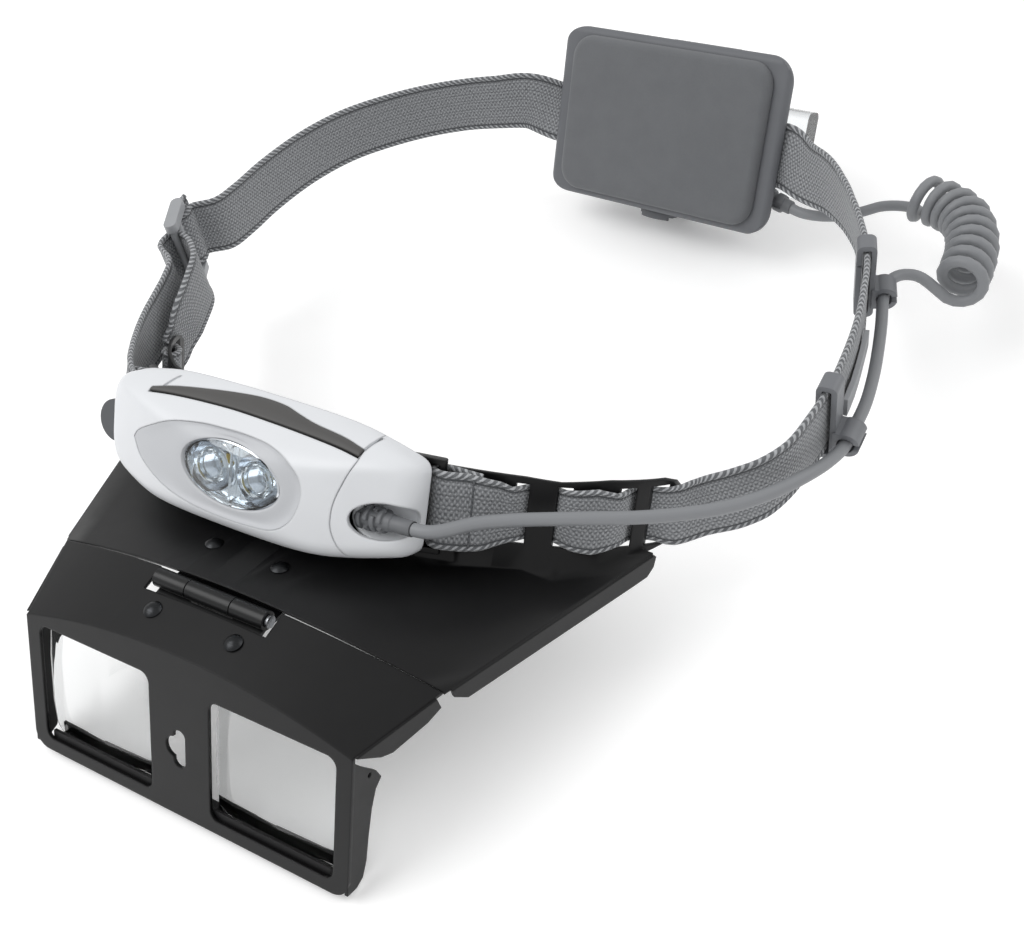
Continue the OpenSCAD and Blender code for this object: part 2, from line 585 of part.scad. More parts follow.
strip_st = [at(112.6 + strip_off, 10, -3.5, 0, 6), at(114.4 + strip_off, -1, -3.5, 0, 6),
    at(115.9 + strip_off, -12, -3.5, 0, 6), at(116.4 + strip_off, -20, -3.5, 0, 6)];
module guide_strip() color(pale_grey) webbing(strip_st, 2);

// Headlamp. In its own frame the front is -Y and Z runs up the face
lamp_back_y = -5.6;
lamp_face_y = -24;
end_face_y = -13;
plan_rise = end_face_y - lamp_face_y;
plan_r = (lamp_l * lamp_l / 4 + plan_rise * plan_rise) / (2 * plan_rise);
lamp_top = lamp_h - 17.5;
lamp_low = -17.5;
leaf_r = 200;
lens_x = 0;
lens_z = 0;
lens_w = 32;
lens_h = 17;
bezel_sink = 0.9;
function face_y(x) = lamp_face_y + plan_r - sqrt(plan_r * plan_r - x * x);
module half_rrect(w, h, r, side) intersection() {
    rrect(w, h, r);
    translate([side * w / 2, 0]) square([w + 0.02, 2 * h], center = true);
}
module leaf_2d(t) intersection() {
    translate([0, lamp_top - leaf_r]) circle(r = leaf_r - t, $fn = 240);
    translate([0, lamp_low + leaf_r]) circle(r = leaf_r - t, $fn = 240);
    translate([0, (lamp_top + lamp_low) / 2]) {
        half_rrect(lamp_l - 2 * t, lamp_h, 9, 1);
        half_rrect(lamp_l - 2 * t, lamp_h, 17, -1);
    }
}
module plan_2d(t) intersection() {
    translate([0, plan_r + lamp_face_y]) circle(r = plan_r - t, $fn = 180);
    translate([-lamp_l / 2 + t, -40]) square([lamp_l - 2 * t, 40 + lamp_back_y]);
}
module side_2d(t) polygon([[-4, -14.6 + t], [-16, -17.5 + t], [-21 + t / 2, -16.5 + t],
    [-24 + t, -12 + t / 2], [-24 + t, 8 - t / 2], [-21 + t / 2, 11.8 - t], [-13, 17 - t],
    [-8, lamp_top - 0.9 - t], [-4, lamp_top - t]]);
module lamp_solid(t) intersection() {
    rotate([90, 0, 0]) linear_extrude(30) leaf_2d(t);
    translate([0, 0, -25]) linear_extrude(50) plan_2d(t);
    rotate([90, 0, 90]) translate([0, 0, -60]) linear_extrude(120) side_2d(t);
}
module lamp_skin(outer, inner) difference() {
    lamp_solid(outer);
    lamp_solid(inner);
}
// Prism forwards from y0 on an outline centred on the lens
module lens_prism(y0, w, h) translate([lens_x, y0, lens_z]) rotate([90, 0, 0])
    linear_extrude(20) scale([w / h, 1]) circle(d = h, $fn = 96);
// Dished area round the lens, wide at the right and drawn out to the left
bezel_rounds = [[12, 0, 11.4], [-10, 0, 11.2], [-30, -0.6, 6]];
module bezel_prism(y0, g) translate([0, y0, 0]) rotate([90, 0, 0]) linear_extrude(20)
    hull() for (b = bezel_rounds) translate([b[0], b[1]]) circle(r = b[2] + g, $fn = 72);
cap_r = 21;
cap_c = [52, -4];
module cap_2d(g) {
    translate(cap_c) circle(r = cap_r + g, $fn = 96);
    translate([cap_c[0], -24]) square([12, 48]);
}
module cap_zone(g) rotate([90, 0, 0]) linear_extrude(40) cap_2d(g);
switch_x = 36.2;
switch_c = 1.2;
switch_front_r = 900;
switch_back_r = 200;
switch_w = 4;
switch_y = -13.1;
module switch_2d(g) translate([switch_c, switch_y]) difference() {
    intersection() {
        translate([0, switch_w / 2 - switch_back_r]) circle(r = switch_back_r + g, $fn = 240);
        square([2 * switch_x + 6 * g, 60], center = true);
    }
    translate([0, -switch_w / 2 - switch_front_r]) circle(r = switch_front_r - g, $fn = 360);
}
groove_x = switch_x - 1;
module lamp_shell() color(white) at_lamp() difference() {
    lamp_skin(0, shell_t);
    cap_zone(0.15);
    bezel_prism(-17, 0.2);
    translate([0, 0, 4]) linear_extrude(25) switch_2d(0.35);
    for (s = [-1, 1]) translate([s * ear_x, -8, -16.6]) cube([10, 7.6, 8], center = true);
    for (s = [-1, 1]) translate([switch_c + s * groove_x, switch_y, 15.4])
        rotate([0, 0, s * 38]) cube([0.8, 8, 2.6], center = true);
}
// Sunk pocket where the cord enters
pocket = [39, -2.5];
pocket_w = 19;
pocket_h = 10.6;
pocket_y = -8.2;
module pocket_prism(y0, l, g) translate([pocket[0], y0, pocket[1]]) rotate([90, 0, 0])
    linear_extrude(l) rrect(pocket_w + 2 * g, pocket_h + 2 * g, pocket_h / 2 - 0.1 + g);
module cord_end_cap() color(white) difference() {
    at_lamp() union() {
        intersection() { lamp_skin(0, shell_t); cap_zone(0); }
        intersection() {
            lamp_solid(shell_t / 2);
            difference() {
                pocket_prism(pocket_y + 1, 30, 1.5);
                pocket_prism(pocket_y, 40, 0);
            }
            cap_zone(-0.4);
        }
    }
    at_lamp() pocket_prism(pocket_y, 40, 0);
    along_line(relief_a, relief_b) cylinder(r = 4.2, h = 30);
}
tilt_axis = [0, -9.5, -15.2];
ear_x = 16;
ear_w = 4;
lug_w = 2.6;
lug_out = ear_w / 2 + lug_w / 2 + 0.2;
pivot_d = 1.4;
lug_rad = 1.7;

module pivot_at(x) translate([x, tilt_axis[1], tilt_axis[2]]) rotate([0, 90, 0]) children();
back_t = 1.4;
tab_c = [-57, -3];
tab_r = 6.4;
module lamp_back() color(dark_grey) at_lamp() difference() {
    union() {
        intersection() {
            lamp_solid(shell_t + 0.3);
            translate([-60, lamp_back_y - 0.2 - back_t, -25]) cube([120, back_t, 50]);
        }
        for (s = [-1, 1], e = [-1, 1]) hinge_lug(s * ear_x + e * lug_out);
        translate([tab_c[0], lamp_back_y + 1.4, tab_c[1]]) rotate([90, 0, 0])
            cylinder(r = tab_r, h = 1.25);
        translate([tab_c[0], lamp_back_y + 0.2, tab_c[1] - 4]) cube([9.6, 1.2, 8]);
        translate([-49.2, lamp_back_y - 1, tab_c[1] - 4]) cube([2.8, 2.2, 8]);
    }
    for (s = [-1, 1]) pivot_at(s * ear_x) cylinder(d = pivot_d + press_gap, h = 20, center = true);
}
module hinge_lug(x) {
    pivot_at(x) cylinder(r = lug_rad, h = lug_w, center = true);
    translate([x - lug_w / 2, tilt_axis[1], tilt_axis[2]])
        cube([lug_w, lamp_back_y - 0.4 - tilt_axis[1], 4]);
}
module tilt_pins() color(steel) at_lamp() for (s = [-1, 1]) pivot_at(s * ear_x)
    cylinder(d = pivot_d, h = ear_w + 2 * lug_w + 0.8, center = true);
module switch_bar() color(dark_grey) at_lamp() intersection() {
    translate([0, 0, 0.9]) lamp_skin(0, shell_t + 0.9);
    translate([0, 0, 9]) linear_extrude(20) switch_2d(0);
}
module lens_bezel() color(pale_grey) at_lamp() difference() {
    intersection() {
        lamp_skin(bezel_sink, bezel_sink + 1.6);
        bezel_prism(-10, 0);
    }
    lens_prism(-10, lens_w, lens_h);
}
module lens_cover() color(clear) at_lamp() intersection() {
    lamp_skin(bezel_sink + 0.2, bezel_sink + 1.4);
    lens_prism(-10, lens_w - 0.4, lens_h - 0.4);
}
cup_x = 7.6;
cup_front = -20.2;
reflector_l = 9.4;
module reflector() color(pale_grey) at_lamp() difference() {
    translate([lens_x, cup_front + reflector_l, lens_z]) rotate([90, 0, 0])
        linear_extrude(reflector_l) rrect(31, lens_h - 1, lens_h / 2 - 0.6);
    for (s = [-1, 1]) translate([lens_x + s * cup_x, cup_front - 0.1, lens_z]) rotate([-90, 0, 0])
        cylinder(r1 = 7.3, r2 = 2.1, h = reflector_l + 0.2);
}
board_y = cup_front + reflector_l + 0.1;
module led_board() color(green) at_lamp() translate([lens_x, board_y + 1.2, lens_z])
    rotate([90, 0, 0]) linear_extrude(1.2) rrect(34, 19, 3);
module led_chips() color(amber) at_lamp() for (s = [-1, 1])
    translate([lens_x + s * cup_x, board_y - 0.75, lens_z]) cube([2.6, 1.4, 2.6], center = true);
module heat_sink() color(steel) at_lamp() translate([lens_x, board_y + 2.8, lens_z])
    rotate([90, 0, 0]) linear_extrude(1.4) rrect(32, 17, 2);

// Cradle: a plate behind the lamp with pivot ears, strap bars and a seat on the wall
plate_y = -4;
plate_t = 1.2;
bar_h = 26.4;
lug_bar_r = 1.2;
right_bar = wall_pt(lug_x, lug_in, mid_w);
function to_lamp(p) = rx(lamp_tilt, p - lamp_pos);
module strap_bar(p, lean, root) {
    translate(p) rotate([-lean, 0, 0]) cylinder(r = lug_bar_r, h = bar_h, center = true);
    for (s = [-1, 1]) hull() {
        translate(p) rotate([-lean, 0, 0]) translate([0, 0, s * (bar_h / 2 - 0.8)])
            cylinder(r = lug_bar_r, h = 1.6, center = true);
        at_lamp() translate([root, plate_y - plate_t / 2, to_lamp(p)[2] + s * (bar_h / 2 - 0.8)])
            cube([3, plate_t, 1.6], center = true);
    }
}
module cradle_ear(s) {
    hull() {
        pivot_at(s * ear_x) cylinder(r = lug_rad, h = ear_w, center = true);
        translate([s * ear_x, -4.7, -14.8]) rotate([0, 90, 0])
            cylinder(r = 0.9, h = ear_w, center = true);
    }
    translate([s * ear_x - ear_w / 2, plate_y - plate_t - 0.2, -14.6])
        cube([ear_w, plate_t, 9]);
}
module lamp_cradle() color(dark_grey) difference() {
    union() {
        at_lamp() {
            translate([0, plate_y, -0.4]) rotate([90, 0, 0]) linear_extrude(plate_t) {
                translate([0, 0]) square([90, 13], center = true);
                translate([-43, to_lamp(left_lug)[2] + 0.4]) square([4, bar_h], center = true);
                translate([43, to_lamp(right_bar)[2] + 0.4]) square([4, bar_h], center = true);
            }
            for (s = [-1, 1]) cradle_ear(s);
        }
        strap_bar(right_bar, wall_tilt, 43);
        strap_bar(left_lug, left_lean, -43);
        difference() {
            at_lamp() translate([13, 0, -1]) cube([22, 2 * -plate_y + 0.2, 9], center = true);
            at_wall() translate([0, wall_c, -through / 2])
                cylinder(r = wall_r + 0.05, h = through, $fn = 240);
        }
    }
    at_lamp() for (s = [-1, 1]) pivot_at(s * ear_x)
        cylinder(d = pivot_d + run_gap, h = 30, center = true);
}

// Cord: front run, curls and rear run along hand placed points
cord_sides = 8;
function side_refs(p) = [for (i = [0 : len(p) - 1])
    cross(p[min(i + 1, len(p) - 1)] - p[max(i - 1, 0)], [0, 0, 1])];
module cord_run(p, steps) {
    c = curve(p, steps);
    tube(c, side_refs(c), cord_d / 2, cord_sides);
}
relief_a = lamp_pt([36.4, -12.4, -2.6]);
relief_b = lamp_pt([50, -13.4, -1.6]);
relief_l = 11;
tail_l = 17.2;
relief_dir = unit(relief_b - relief_a);
plug_a = box_pt([30.6, 12.8, -15]);
plug_b = plug_a + [20, -4.6, -3];
plug_dir = unit(plug_b - plug_a);

coil_axis = [[131.2, 46.8, -8], [130.8, 56, -8], [129.8, 65.2, -8.2], [127.2, 74.4, -8.6],
    [122.6, 82.8, -9.2], [115, 88.4, -9.8], [106, 91, -10.2]];
ring_count = 8;
coil_line = curve(coil_axis, 24);
coil_n = curls * ring_count;
lead = cord_d;
function along(k) = let (f = k / coil_n * (len(coil_line) - 1),
        i = min(floor(f), len(coil_line) - 2))
    coil_line[i] + (coil_line[i + 1] - coil_line[i]) * (f - i);
function heading(k) = unit(along(min(k + 1, coil_n)) - along(max(k - 1, 0)));
// The first curl begins this far before its lowest point, where the cord runs into it
curl_lag = 55;
function curl_ref(k) = let (h = heading(k), e = unit(cross(h, [0, 0, 1])),
        a = -90 - curl_lag * (1 - k / coil_n) + 360 * k / ring_count)
    e * cos(a) + [0, 0, 1] * sin(a);
function curl_pt(k) = along(k) + curl_ref(k) * curl_r;
curl_mid = [for (k = [0 : coil_n]) curl_pt(k)];
start_dir = unit(curl_pt(0) - curl_pt(0.05));
end_dir = unit(curl_pt(coil_n) - curl_pt(coil_n - 0.05));
coil_pts = concat([curl_mid[0] + start_dir * lead], curl_mid,
    [curl_mid[coil_n] + end_dir * lead]);
coil_refs = concat([curl_ref(0)], [for (k = [0 : coil_n]) curl_ref(k)], [curl_ref(coil_n)]);
// Least distance between points at least half a curl apart, less the cord itself
fine_pts = [for (k = [0 : coil_n * 3]) curl_pt(k / 3)];
half_curl = ring_count * 3 / 2;
least = min([for (i = [0 : len(fine_pts) - 1],
        j = [i + half_curl : 1 : min(i + 5 * half_curl, len(fine_pts) - 1)])
    norm(fine_pts[i] - fine_pts[j])]);
echo(least_gap_to_itself = least - cord_d, curls = curls);
module coil_cord() color(cord_grey) tube(coil_pts, coil_refs, cord_d / 2, 6);

coil_start = coil_pts[0];
coil_end = coil_pts[len(coil_pts) - 1];
front_pts = [relief_a + relief_dir * (tail_l + 0.8), relief_a + relief_dir * (tail_l + 4.6),
    [52.4, -108.6, 13.9], [60, -102.6, 12.2], [69, -97, 10.6],
    [78, -91.4, 8.8], [87, -85.6, 6.8], [98, -77.2, 4.4], [106.4, -69.6, 3],
    [113, -61.4, 2], [118, -52, 0.4], [121, -41, -3.2],
    [122.15, -32, -5.8], [122.15, -28, -6], [122.2, -24, -6.1], [122, -14, -6.4],
    [120.4, -2, -6.6], [118.2, 9, -6.5], [115.6, 20, -6.2], [113, 29.4, -6],
    [111.7, 34.8, -6], [110.6, 39.6, -6.2], [110.6, 43.6, -6.3], [112, 47.2, -6.2],
    [115, 49.2, -5.8], coil_start + start_dir * 3, coil_start + start_dir * 0.5];
module front_cord() color(cord_grey) cord_run(front_pts, 2);
rear_pts = [coil_end + end_dir * 0.5, coil_end + end_dir * 3.4, [101.6, 97, -17],
    [96.4, 95.4, -17.4], [91.6, 92, -17.8], [87, 88.2, -18.2], [82, 85.2, -18.6],
    [76.4, 83.2, -18.8], plug_b + plug_dir * 4, plug_b - plug_dir * 4];
module rear_cord() color(cord_grey) cord_run(rear_pts, 2);

// Strain reliefs: a stepped sleeve along a line
function turn_z(d) = atan2(d[1], d[0]);
function turn_y(d) = -atan2(d[2], norm([d[0], d[1]]));
module along_line(a, b) translate(a) rotate([0, turn_y(b - a), turn_z(b - a)])
    rotate([0, 90, 0]) children();
module sleeve(l, d0, d1) difference() {
    union() {
        cylinder(d1 = d0, d2 = d1, h = l);
        for (i = [0 : 3]) translate([0, 0, 1.2 + i * l / 4.4])
            cylinder(d = d0 + 1.1 - i * (d0 - d1) / 4, h = l / 9);
    }
    translate([0, 0, -1]) cylinder(d = cord_d + 0.5, h = l + 2);
}
module front_strain_relief() color(mid_grey) along_line(relief_a, relief_b) {
    sleeve(relief_l, 6.4, 5);
    translate([0, 0, 2]) cylinder(d = cord_d + 0.55, h = tail_l - 2);
}
module rear_plug() color(mid_grey) along_line(plug_a, plug_b)
    sleeve(norm(plug_b - plug_a), 6.6, 5);

// Battery box. In its own frame the head pad faces -Y
base_l = pad_l + 2 * side_margin;
base_h = pad_h + 2 * pad_margin;
base_back = 6.4;
case_h = 55;
case_y = strap_depth + strap_t / 2 + 1.1;
lid_y = case_y + case_d;
case_wall = 1.6;
rib = [12, 7];
rib_z = 19.5;
screw_x = 22;
screw_d = 2.6;
base_front = 3.5;
base_soft = 2.4;
// Depth and width of the base, its front edges rounded
module soft_front(w) translate([base_front, 0]) {
    translate([base_soft, -w / 2]) square([10, w]);
    translate([0, base_soft - w / 2]) square([base_soft + 0.1, w - 2 * base_soft]);
    for (s = [-1, 1]) translate([base_soft, s * (w / 2 - base_soft)]) circle(r = base_soft);
}
module head_pad() color(dark_grey) at_box() {
    slab_y(0, 1) rrect(pad_l - 1.8, pad_h - 1.8, 6.2);
    slab_y(0.9, 2.5) rrect(pad_l, pad_h, 7);
}
module box_base() color(mid_grey) at_box() difference() {
    union() {
        intersection() {
            slab_y(base_front, base_back - base_front) rrect(base_l, base_h, 9);
            translate([0, 0, -base_h]) linear_extrude(2 * base_h) mirror([1, -1]) soft_front(base_l);
            rotate([90, 0, 90]) translate([0, 0, -base_l]) linear_extrude(2 * base_l)
                soft_front(base_h);
        }
        for (s = [-1, 1], e = [-1, 1]) translate([e * screw_x, 0, s * rib_z])
            slab_y(base_back - 0.1, case_y - base_back + 0.05) rrect(rib[0], rib[1], 3);
    }
    for (s = [-1, 1], e = [-1, 1]) translate([e * screw_x, 4.8, s * rib_z])
        rotate([-90, 0, 0]) cylinder(d = screw_d - 0.1, h = 20);
}
module base_screws() color(steel) at_box() for (s = [-1, 1], e = [-1, 1])
    translate([e * screw_x, 0, s * rib_z]) rotate([-90, 0, 0]) {
        translate([0, 0, 5]) cylinder(d = screw_d - 0.1, h = case_y + case_wall - 4.9);
        translate([0, 0, case_y + case_wall + 0.05]) cylinder(d = 4.4, h = 1.6);
    }
// Rear window and the light behind it
window = [17.6, 8.4, 30];
window_at = [case_l / 2 - 1.6, lid_y - 10.4, -17.6];
lid_t = 2.2;
hinge_r = 1.7;
lid_pin_d = 1.3;
lid_axis = [0, lid_y + 1, case_h / 2 - 0.6];
ear_l = 6.4;
mid_l = 14;
// Thumb latch under the case
latch_x = -2;
latch_axis = [latch_x, 19, -case_h / 2 - 3.3];
latch_w = 14;
latch_pin_d = 1.4;
module battery_case() color(mid_grey) at_box() difference() {
    union() {
        difference() {
            slab_y(case_y, case_d) rrect(case_l, case_h, 8);
            slab_y(case_y + case_wall, case_d)
                rrect(case_l - 2 * case_wall, case_h - 2 * case_wall, 6.6);
        }
        for (s = [-1, 1]) translate([latch_x + s * (latch_w / 2 + 1.4), latch_axis[1], 0]) {
            translate([-1, -2.4, latch_axis[2]]) cube([2, 4.8, 4.2]);
            translate([0, 0, latch_axis[2]]) rotate([0, 90, 0])
                cylinder(r = 2.4, h = 2, center = true);
        }
    }
    translate(window_at - [2, 0.2, 0.2]) cube(window + [2, 0.4, 0.4]);
    translate([-15, lid_y - 1.9, case_h / 2 - 3]) cube([30, 4, 4]);
    for (s = [-1, 1], e = [-1, 1]) translate([e * screw_x, 0, s * rib_z])
        rotate([-90, 0, 0]) cylinder(d = screw_d + 0.2, h = case_y + case_wall + 1);
    translate(latch_axis) rotate([0, 90, 0]) cylinder(d = latch_pin_d + press_gap, h = 30, center = true);
    translate(plug_seat) rotate([0, 90, 0]) cylinder(d = 9, h = 12);
}
plug_seat = [case_l / 2 - 6, 13, -15];
module lid_ears() color(mid_grey) at_box() translate(lid_axis) for (s = [-1, 1])
    translate([s * (mid_l / 2 + 0.4 + ear_l / 2), 0, 0]) difference() {
        union() {
            rotate([0, 90, 0]) cylinder(r = hinge_r, h = ear_l, center = true);
            translate([-ear_l / 2, -3.6, -hinge_r]) cube([ear_l, 2.8, 2.6]);
        }
        rotate([0, 90, 0]) cylinder(d = lid_pin_d + press_gap, h = 20, center = true);
    }
module battery_lid() color(mid_grey) at_box() difference() {
    union() {
        difference() {
            slab_y(lid_y + 0.25, lid_t) rrect(case_l, case_h, 8);
            translate(lid_axis) rotate([0, 90, 0])
                cylinder(r = hinge_r + 0.35, h = 29, center = true);
        }
        difference() {
            slab_y(lid_y - 1.2, 1.6) rrect(case_l - 2 * case_wall - 0.8, case_h - 12.4, 4);
            slab_y(lid_y - 3, 8) rrect(case_l - 2 * case_wall - 4, case_h - 16.4, 3);
        }
        translate(lid_axis) {
            rotate([0, 90, 0]) cylinder(r = hinge_r, h = mid_l, center = true);
            translate([-mid_l / 2, -0.5, -3]) cube([mid_l, 1.6, 2.4]);
        }
    }
    translate(lid_axis) rotate([0, 90, 0]) cylinder(d = lid_pin_d + run_gap, h = 40, center = true);
}
module lid_hinge_pin() color(steel) at_box() translate(lid_axis) rotate([0, 90, 0])
    cylinder(d = lid_pin_d, h = mid_l + 2 * ear_l + 0.6, center = true);
module lid_latch() color(mid_grey) at_box() translate(latch_axis) difference() {
    union() {
        rotate([0, 90, 0]) cylinder(r = 1.9, h = latch_w, center = true);
        translate([-latch_w / 2, 0, -1.6]) cube([latch_w, 13.4, 1.3]);
        translate([-latch_w / 2, 12.2, -1.6]) cube([latch_w, 1.2, 4.6]);
        translate([0, 0, -1.9]) linear_extrude(1.6) intersection() {
            translate([0, 1]) circle(r = 10.6);
            translate([-latch_w / 2, -10.4]) square([latch_w, 10.4]);
        }
        translate([0, 0, -3]) linear_extrude(1.2) intersection() {
            translate([0, 1]) circle(r = 10.6);
            translate([-latch_w / 2, -10.4]) square([latch_w, 2.6]);
        }
    }
    rotate([0, 90, 0]) cylinder(d = latch_pin_d + run_gap, h = 30, center = true);
}
module latch_pin() color(steel) at_box() translate(latch_axis) rotate([0, 90, 0])
    cylinder(d = latch_pin_d, h = latch_w + 4.6, center = true);
cell_gap = 0.9;
function cell_z(i) = (i - 1) * (cell_d + cell_gap);
function cell_side(i) = i == 1 ? 1 : -1;
cell_y = case_y + case_wall + 0.4 + cell_d / 2;
spring_l = 2.4;
module cells() color(copper) at_box() for (i = [0 : 2])
    translate([cell_side(i) * 0.7, cell_y, cell_z(i)]) rotate([0, -90 * cell_side(i), 0]) {
        translate([0, 0, -cell_l / 2]) cylinder(d = cell_d, h = cell_l - 1);
        translate([0, 0, cell_l / 2 - 1.05]) cylinder(d = 3.6, h = 1.05);
    }
module spring_contacts() color(steel) at_box() for (i = [0 : 2])
    translate([cell_side(i) * (0.7 + cell_l / 2 + 0.1), cell_y, cell_z(i)])
        rotate([0, 90 * cell_side(i), 0]) {
            translate([0, 0, spring_l]) cylinder(d = 7.6, h = 0.5);
            difference() {
                cylinder(d1 = 4.2, d2 = 7, h = spring_l + 0.1);
                translate([0, 0, -0.5]) cylinder(d1 = 2.8, d2 = 6, h = spring_l + 0.5);
            }
        }
module plate_contacts() color(steel) at_box() for (i = [0 : 2])
    translate([cell_side(i) * (0.7 - cell_l / 2 - 0.4), cell_y, cell_z(i)])
        cube([0.5, 8, 8], center = true);
module rear_window() color(clear) at_box() translate(window_at) rotate([0, 90, 0])
    translate([-window[2] / 2, window[1] / 2, 0]) linear_extrude(window[0])
        rrect(window[2], window[1], 2.4);
module rear_led() color(amber) at_box()
    translate(window_at + [-2.6, window[1] / 2 - 1.2, window[2] / 2 - 1.2]) cube([2.6, 2.4, 2.4]);

rear_plate();
rear_hinge_leaf();
front_hinge_leaf();
hinge_pin();
rear_rivets();
front_rivets();
lens_visor();
lens_rail();
left_lens();
right_lens();
strap_long();
strap_loop();
slide_buckle();
front_cord_clip();
rear_cord_clip();
guide_strip();
lamp_cradle();
tilt_pins();
lamp_shell();
cord_end_cap();
lamp_back();
switch_bar();
lens_bezel();
lens_cover();
reflector();
led_board();
led_chips();
heat_sink();
front_strain_relief();
front_cord();
coil_cord();
rear_cord();
rear_plug();
box_base();
base_screws();
head_pad();
union() { battery_case(); lid_ears(); }
battery_lid();
lid_hinge_pin();
lid_latch();
latch_pin();
cells();
spring_contacts();
plate_contacts();
rear_window();
rear_led();
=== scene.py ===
"""Lighted headband magnifier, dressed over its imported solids.

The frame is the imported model: +Z is the normal of the headband ring, -Y is the way
the wearer looks, and every length here is written in millimetres and made metres.
"""
import logging
import math
from abc import ABC, abstractmethod
from dataclasses import dataclass, field
from enum import Enum
from typing import Callable, Iterable, Optional, Sequence

import bmesh
import bpy
import numpy as np
from mathutils import Matrix, Vector


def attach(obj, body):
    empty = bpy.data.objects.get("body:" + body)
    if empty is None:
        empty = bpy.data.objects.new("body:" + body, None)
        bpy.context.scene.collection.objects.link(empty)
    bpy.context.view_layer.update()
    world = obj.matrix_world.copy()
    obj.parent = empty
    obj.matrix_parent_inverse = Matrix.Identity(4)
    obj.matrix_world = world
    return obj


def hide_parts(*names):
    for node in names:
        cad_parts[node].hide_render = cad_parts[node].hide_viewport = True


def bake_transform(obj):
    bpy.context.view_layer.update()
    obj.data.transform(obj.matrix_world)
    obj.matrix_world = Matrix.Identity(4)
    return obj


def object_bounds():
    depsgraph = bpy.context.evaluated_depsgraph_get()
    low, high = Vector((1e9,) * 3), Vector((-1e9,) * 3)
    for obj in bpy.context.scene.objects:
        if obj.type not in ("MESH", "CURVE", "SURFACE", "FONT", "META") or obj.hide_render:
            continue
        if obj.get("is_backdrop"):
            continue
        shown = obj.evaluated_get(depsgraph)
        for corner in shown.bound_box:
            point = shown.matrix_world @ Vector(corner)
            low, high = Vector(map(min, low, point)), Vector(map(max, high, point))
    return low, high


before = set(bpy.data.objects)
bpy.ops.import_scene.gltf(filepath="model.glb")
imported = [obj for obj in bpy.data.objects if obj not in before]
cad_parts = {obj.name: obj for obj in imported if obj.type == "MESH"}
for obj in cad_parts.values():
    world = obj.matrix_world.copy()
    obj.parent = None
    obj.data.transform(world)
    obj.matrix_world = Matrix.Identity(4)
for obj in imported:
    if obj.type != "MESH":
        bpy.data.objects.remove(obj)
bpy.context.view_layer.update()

LOG = logging.getLogger("magnifier")
MM = 0.001
Point = tuple[float, float, float]


# ---------------------------------------------------------------- small helpers
def srgb(code: str, alpha: float = 1.0) -> tuple[float, float, float, float]:
    """Turn an sRGB hex colour to linear.

    Args:
        code: Six hex digits with a leading hash.
        alpha: Alpha of the result.

    Returns:
        Linear red, green, blue and alpha.
    """
    parts = [int(code[i:i + 2], 16) / 255 for i in (1, 3, 5)]
    lin = [c / 12.92 if c <= 0.04045 else ((c + 0.055) / 1.055) ** 2.4 for c in parts]
    return lin[0], lin[1], lin[2], alpha


def add_node(tree: bpy.types.NodeTree, kind: str, settings: Optional[dict] = None,
             links: Optional[dict] = None) -> bpy.types.Node:
    """Add one shader node.

    Args:
        tree: Node tree that takes it.
        kind: Blender's name of the node type.
        settings: Attributes of the node, or values of its inputs by name or number.
        links: Output sockets to join to inputs by name or number.

    Returns:
        The new node.
    """
    node = tree.nodes.new(kind)
    for key, value in (settings or {}).items():
        if isinstance(key, str) and hasattr(node, key):
            setattr(node, key, value)
        else:
            node.inputs[key].default_value = value
    for key, source in (links or {}).items():
        tree.links.new(source, node.inputs[key])
    return node


def per_mm(size_mm: float) -> float:
    """Noise scale on Object coordinates for grains of that size."""
    return 1000.0 / size_mm


def wave_scale(period_mm: float) -> float:
    """Wave texture scale on a UV in millimetres for that period."""
    return 2 * math.pi / 20 / period_mm


def deselect() -> None:
    """Leave nothing selected."""
    if bpy.context.object and bpy.context.object.mode != "OBJECT":
        bpy.ops.object.mode_set(mode="OBJECT")
    bpy.ops.object.select_all(action="DESELECT")


def activate(obj: bpy.types.Object) -> None:
    """Select obj alone and make it active."""
    deselect()
    obj.select_set(True)
    bpy.context.view_layer.objects.active = obj


def link_object(name: str, data: bpy.types.ID) -> bpy.types.Object:
    """Make an object of some data and link it to the scene."""
    obj = bpy.data.objects.new(name, data)
    bpy.context.scene.collection.objects.link(obj)
    return obj


def link_mesh(name: str, verts: Sequence[Sequence[float]],
              faces: Sequence[Sequence[int]]) -> bpy.types.Object:
    """Make a mesh object from points in metres and faces."""
    mesh = bpy.data.meshes.new(name)
    mesh.from_pydata([tuple(v) for v in verts], [], [tuple(f) for f in faces])
    mesh.update()
    return link_object(name, mesh)


def mend(obj: bpy.types.Object, merge: float = 0.0, outward: bool = True) -> None:
    """Merge a mesh's doubled points and make its normals agree.

    Args:
        obj: Mesh to mend.
        merge: Distance within which points become one; 0 merges none.
        outward: Whether the normals are turned outwards.
    """
    activate(obj)
    bpy.ops.object.mode_set(mode="EDIT")
    bpy.ops.mesh.select_all(action="SELECT")
    if merge:
        bpy.ops.mesh.remove_doubles(threshold=merge)
    if outward:
        bpy.ops.mesh.normals_make_consistent(inside=False)
    bpy.ops.object.mode_set(mode="OBJECT")


def lay_uv(obj: bpy.types.Object, corners_of: Sequence[Sequence[tuple[float, float]]]) -> None:
    """Give a mesh its UV map, from the places of each face's corners."""
    layer = obj.data.uv_layers.new(name="UVMap")
    for poly, corners in zip(obj.data.polygons, corners_of):
        for loop, uv in zip(poly.loop_indices, corners):
            layer.data[loop].uv = uv


def running(points: Sequence[Vector]) -> list[float]:
    """Length of a line up to each of its points."""
    run = [0.0]
    for a, b in zip(points, points[1:]):
        run.append(run[-1] + (b - a).length)
    return run


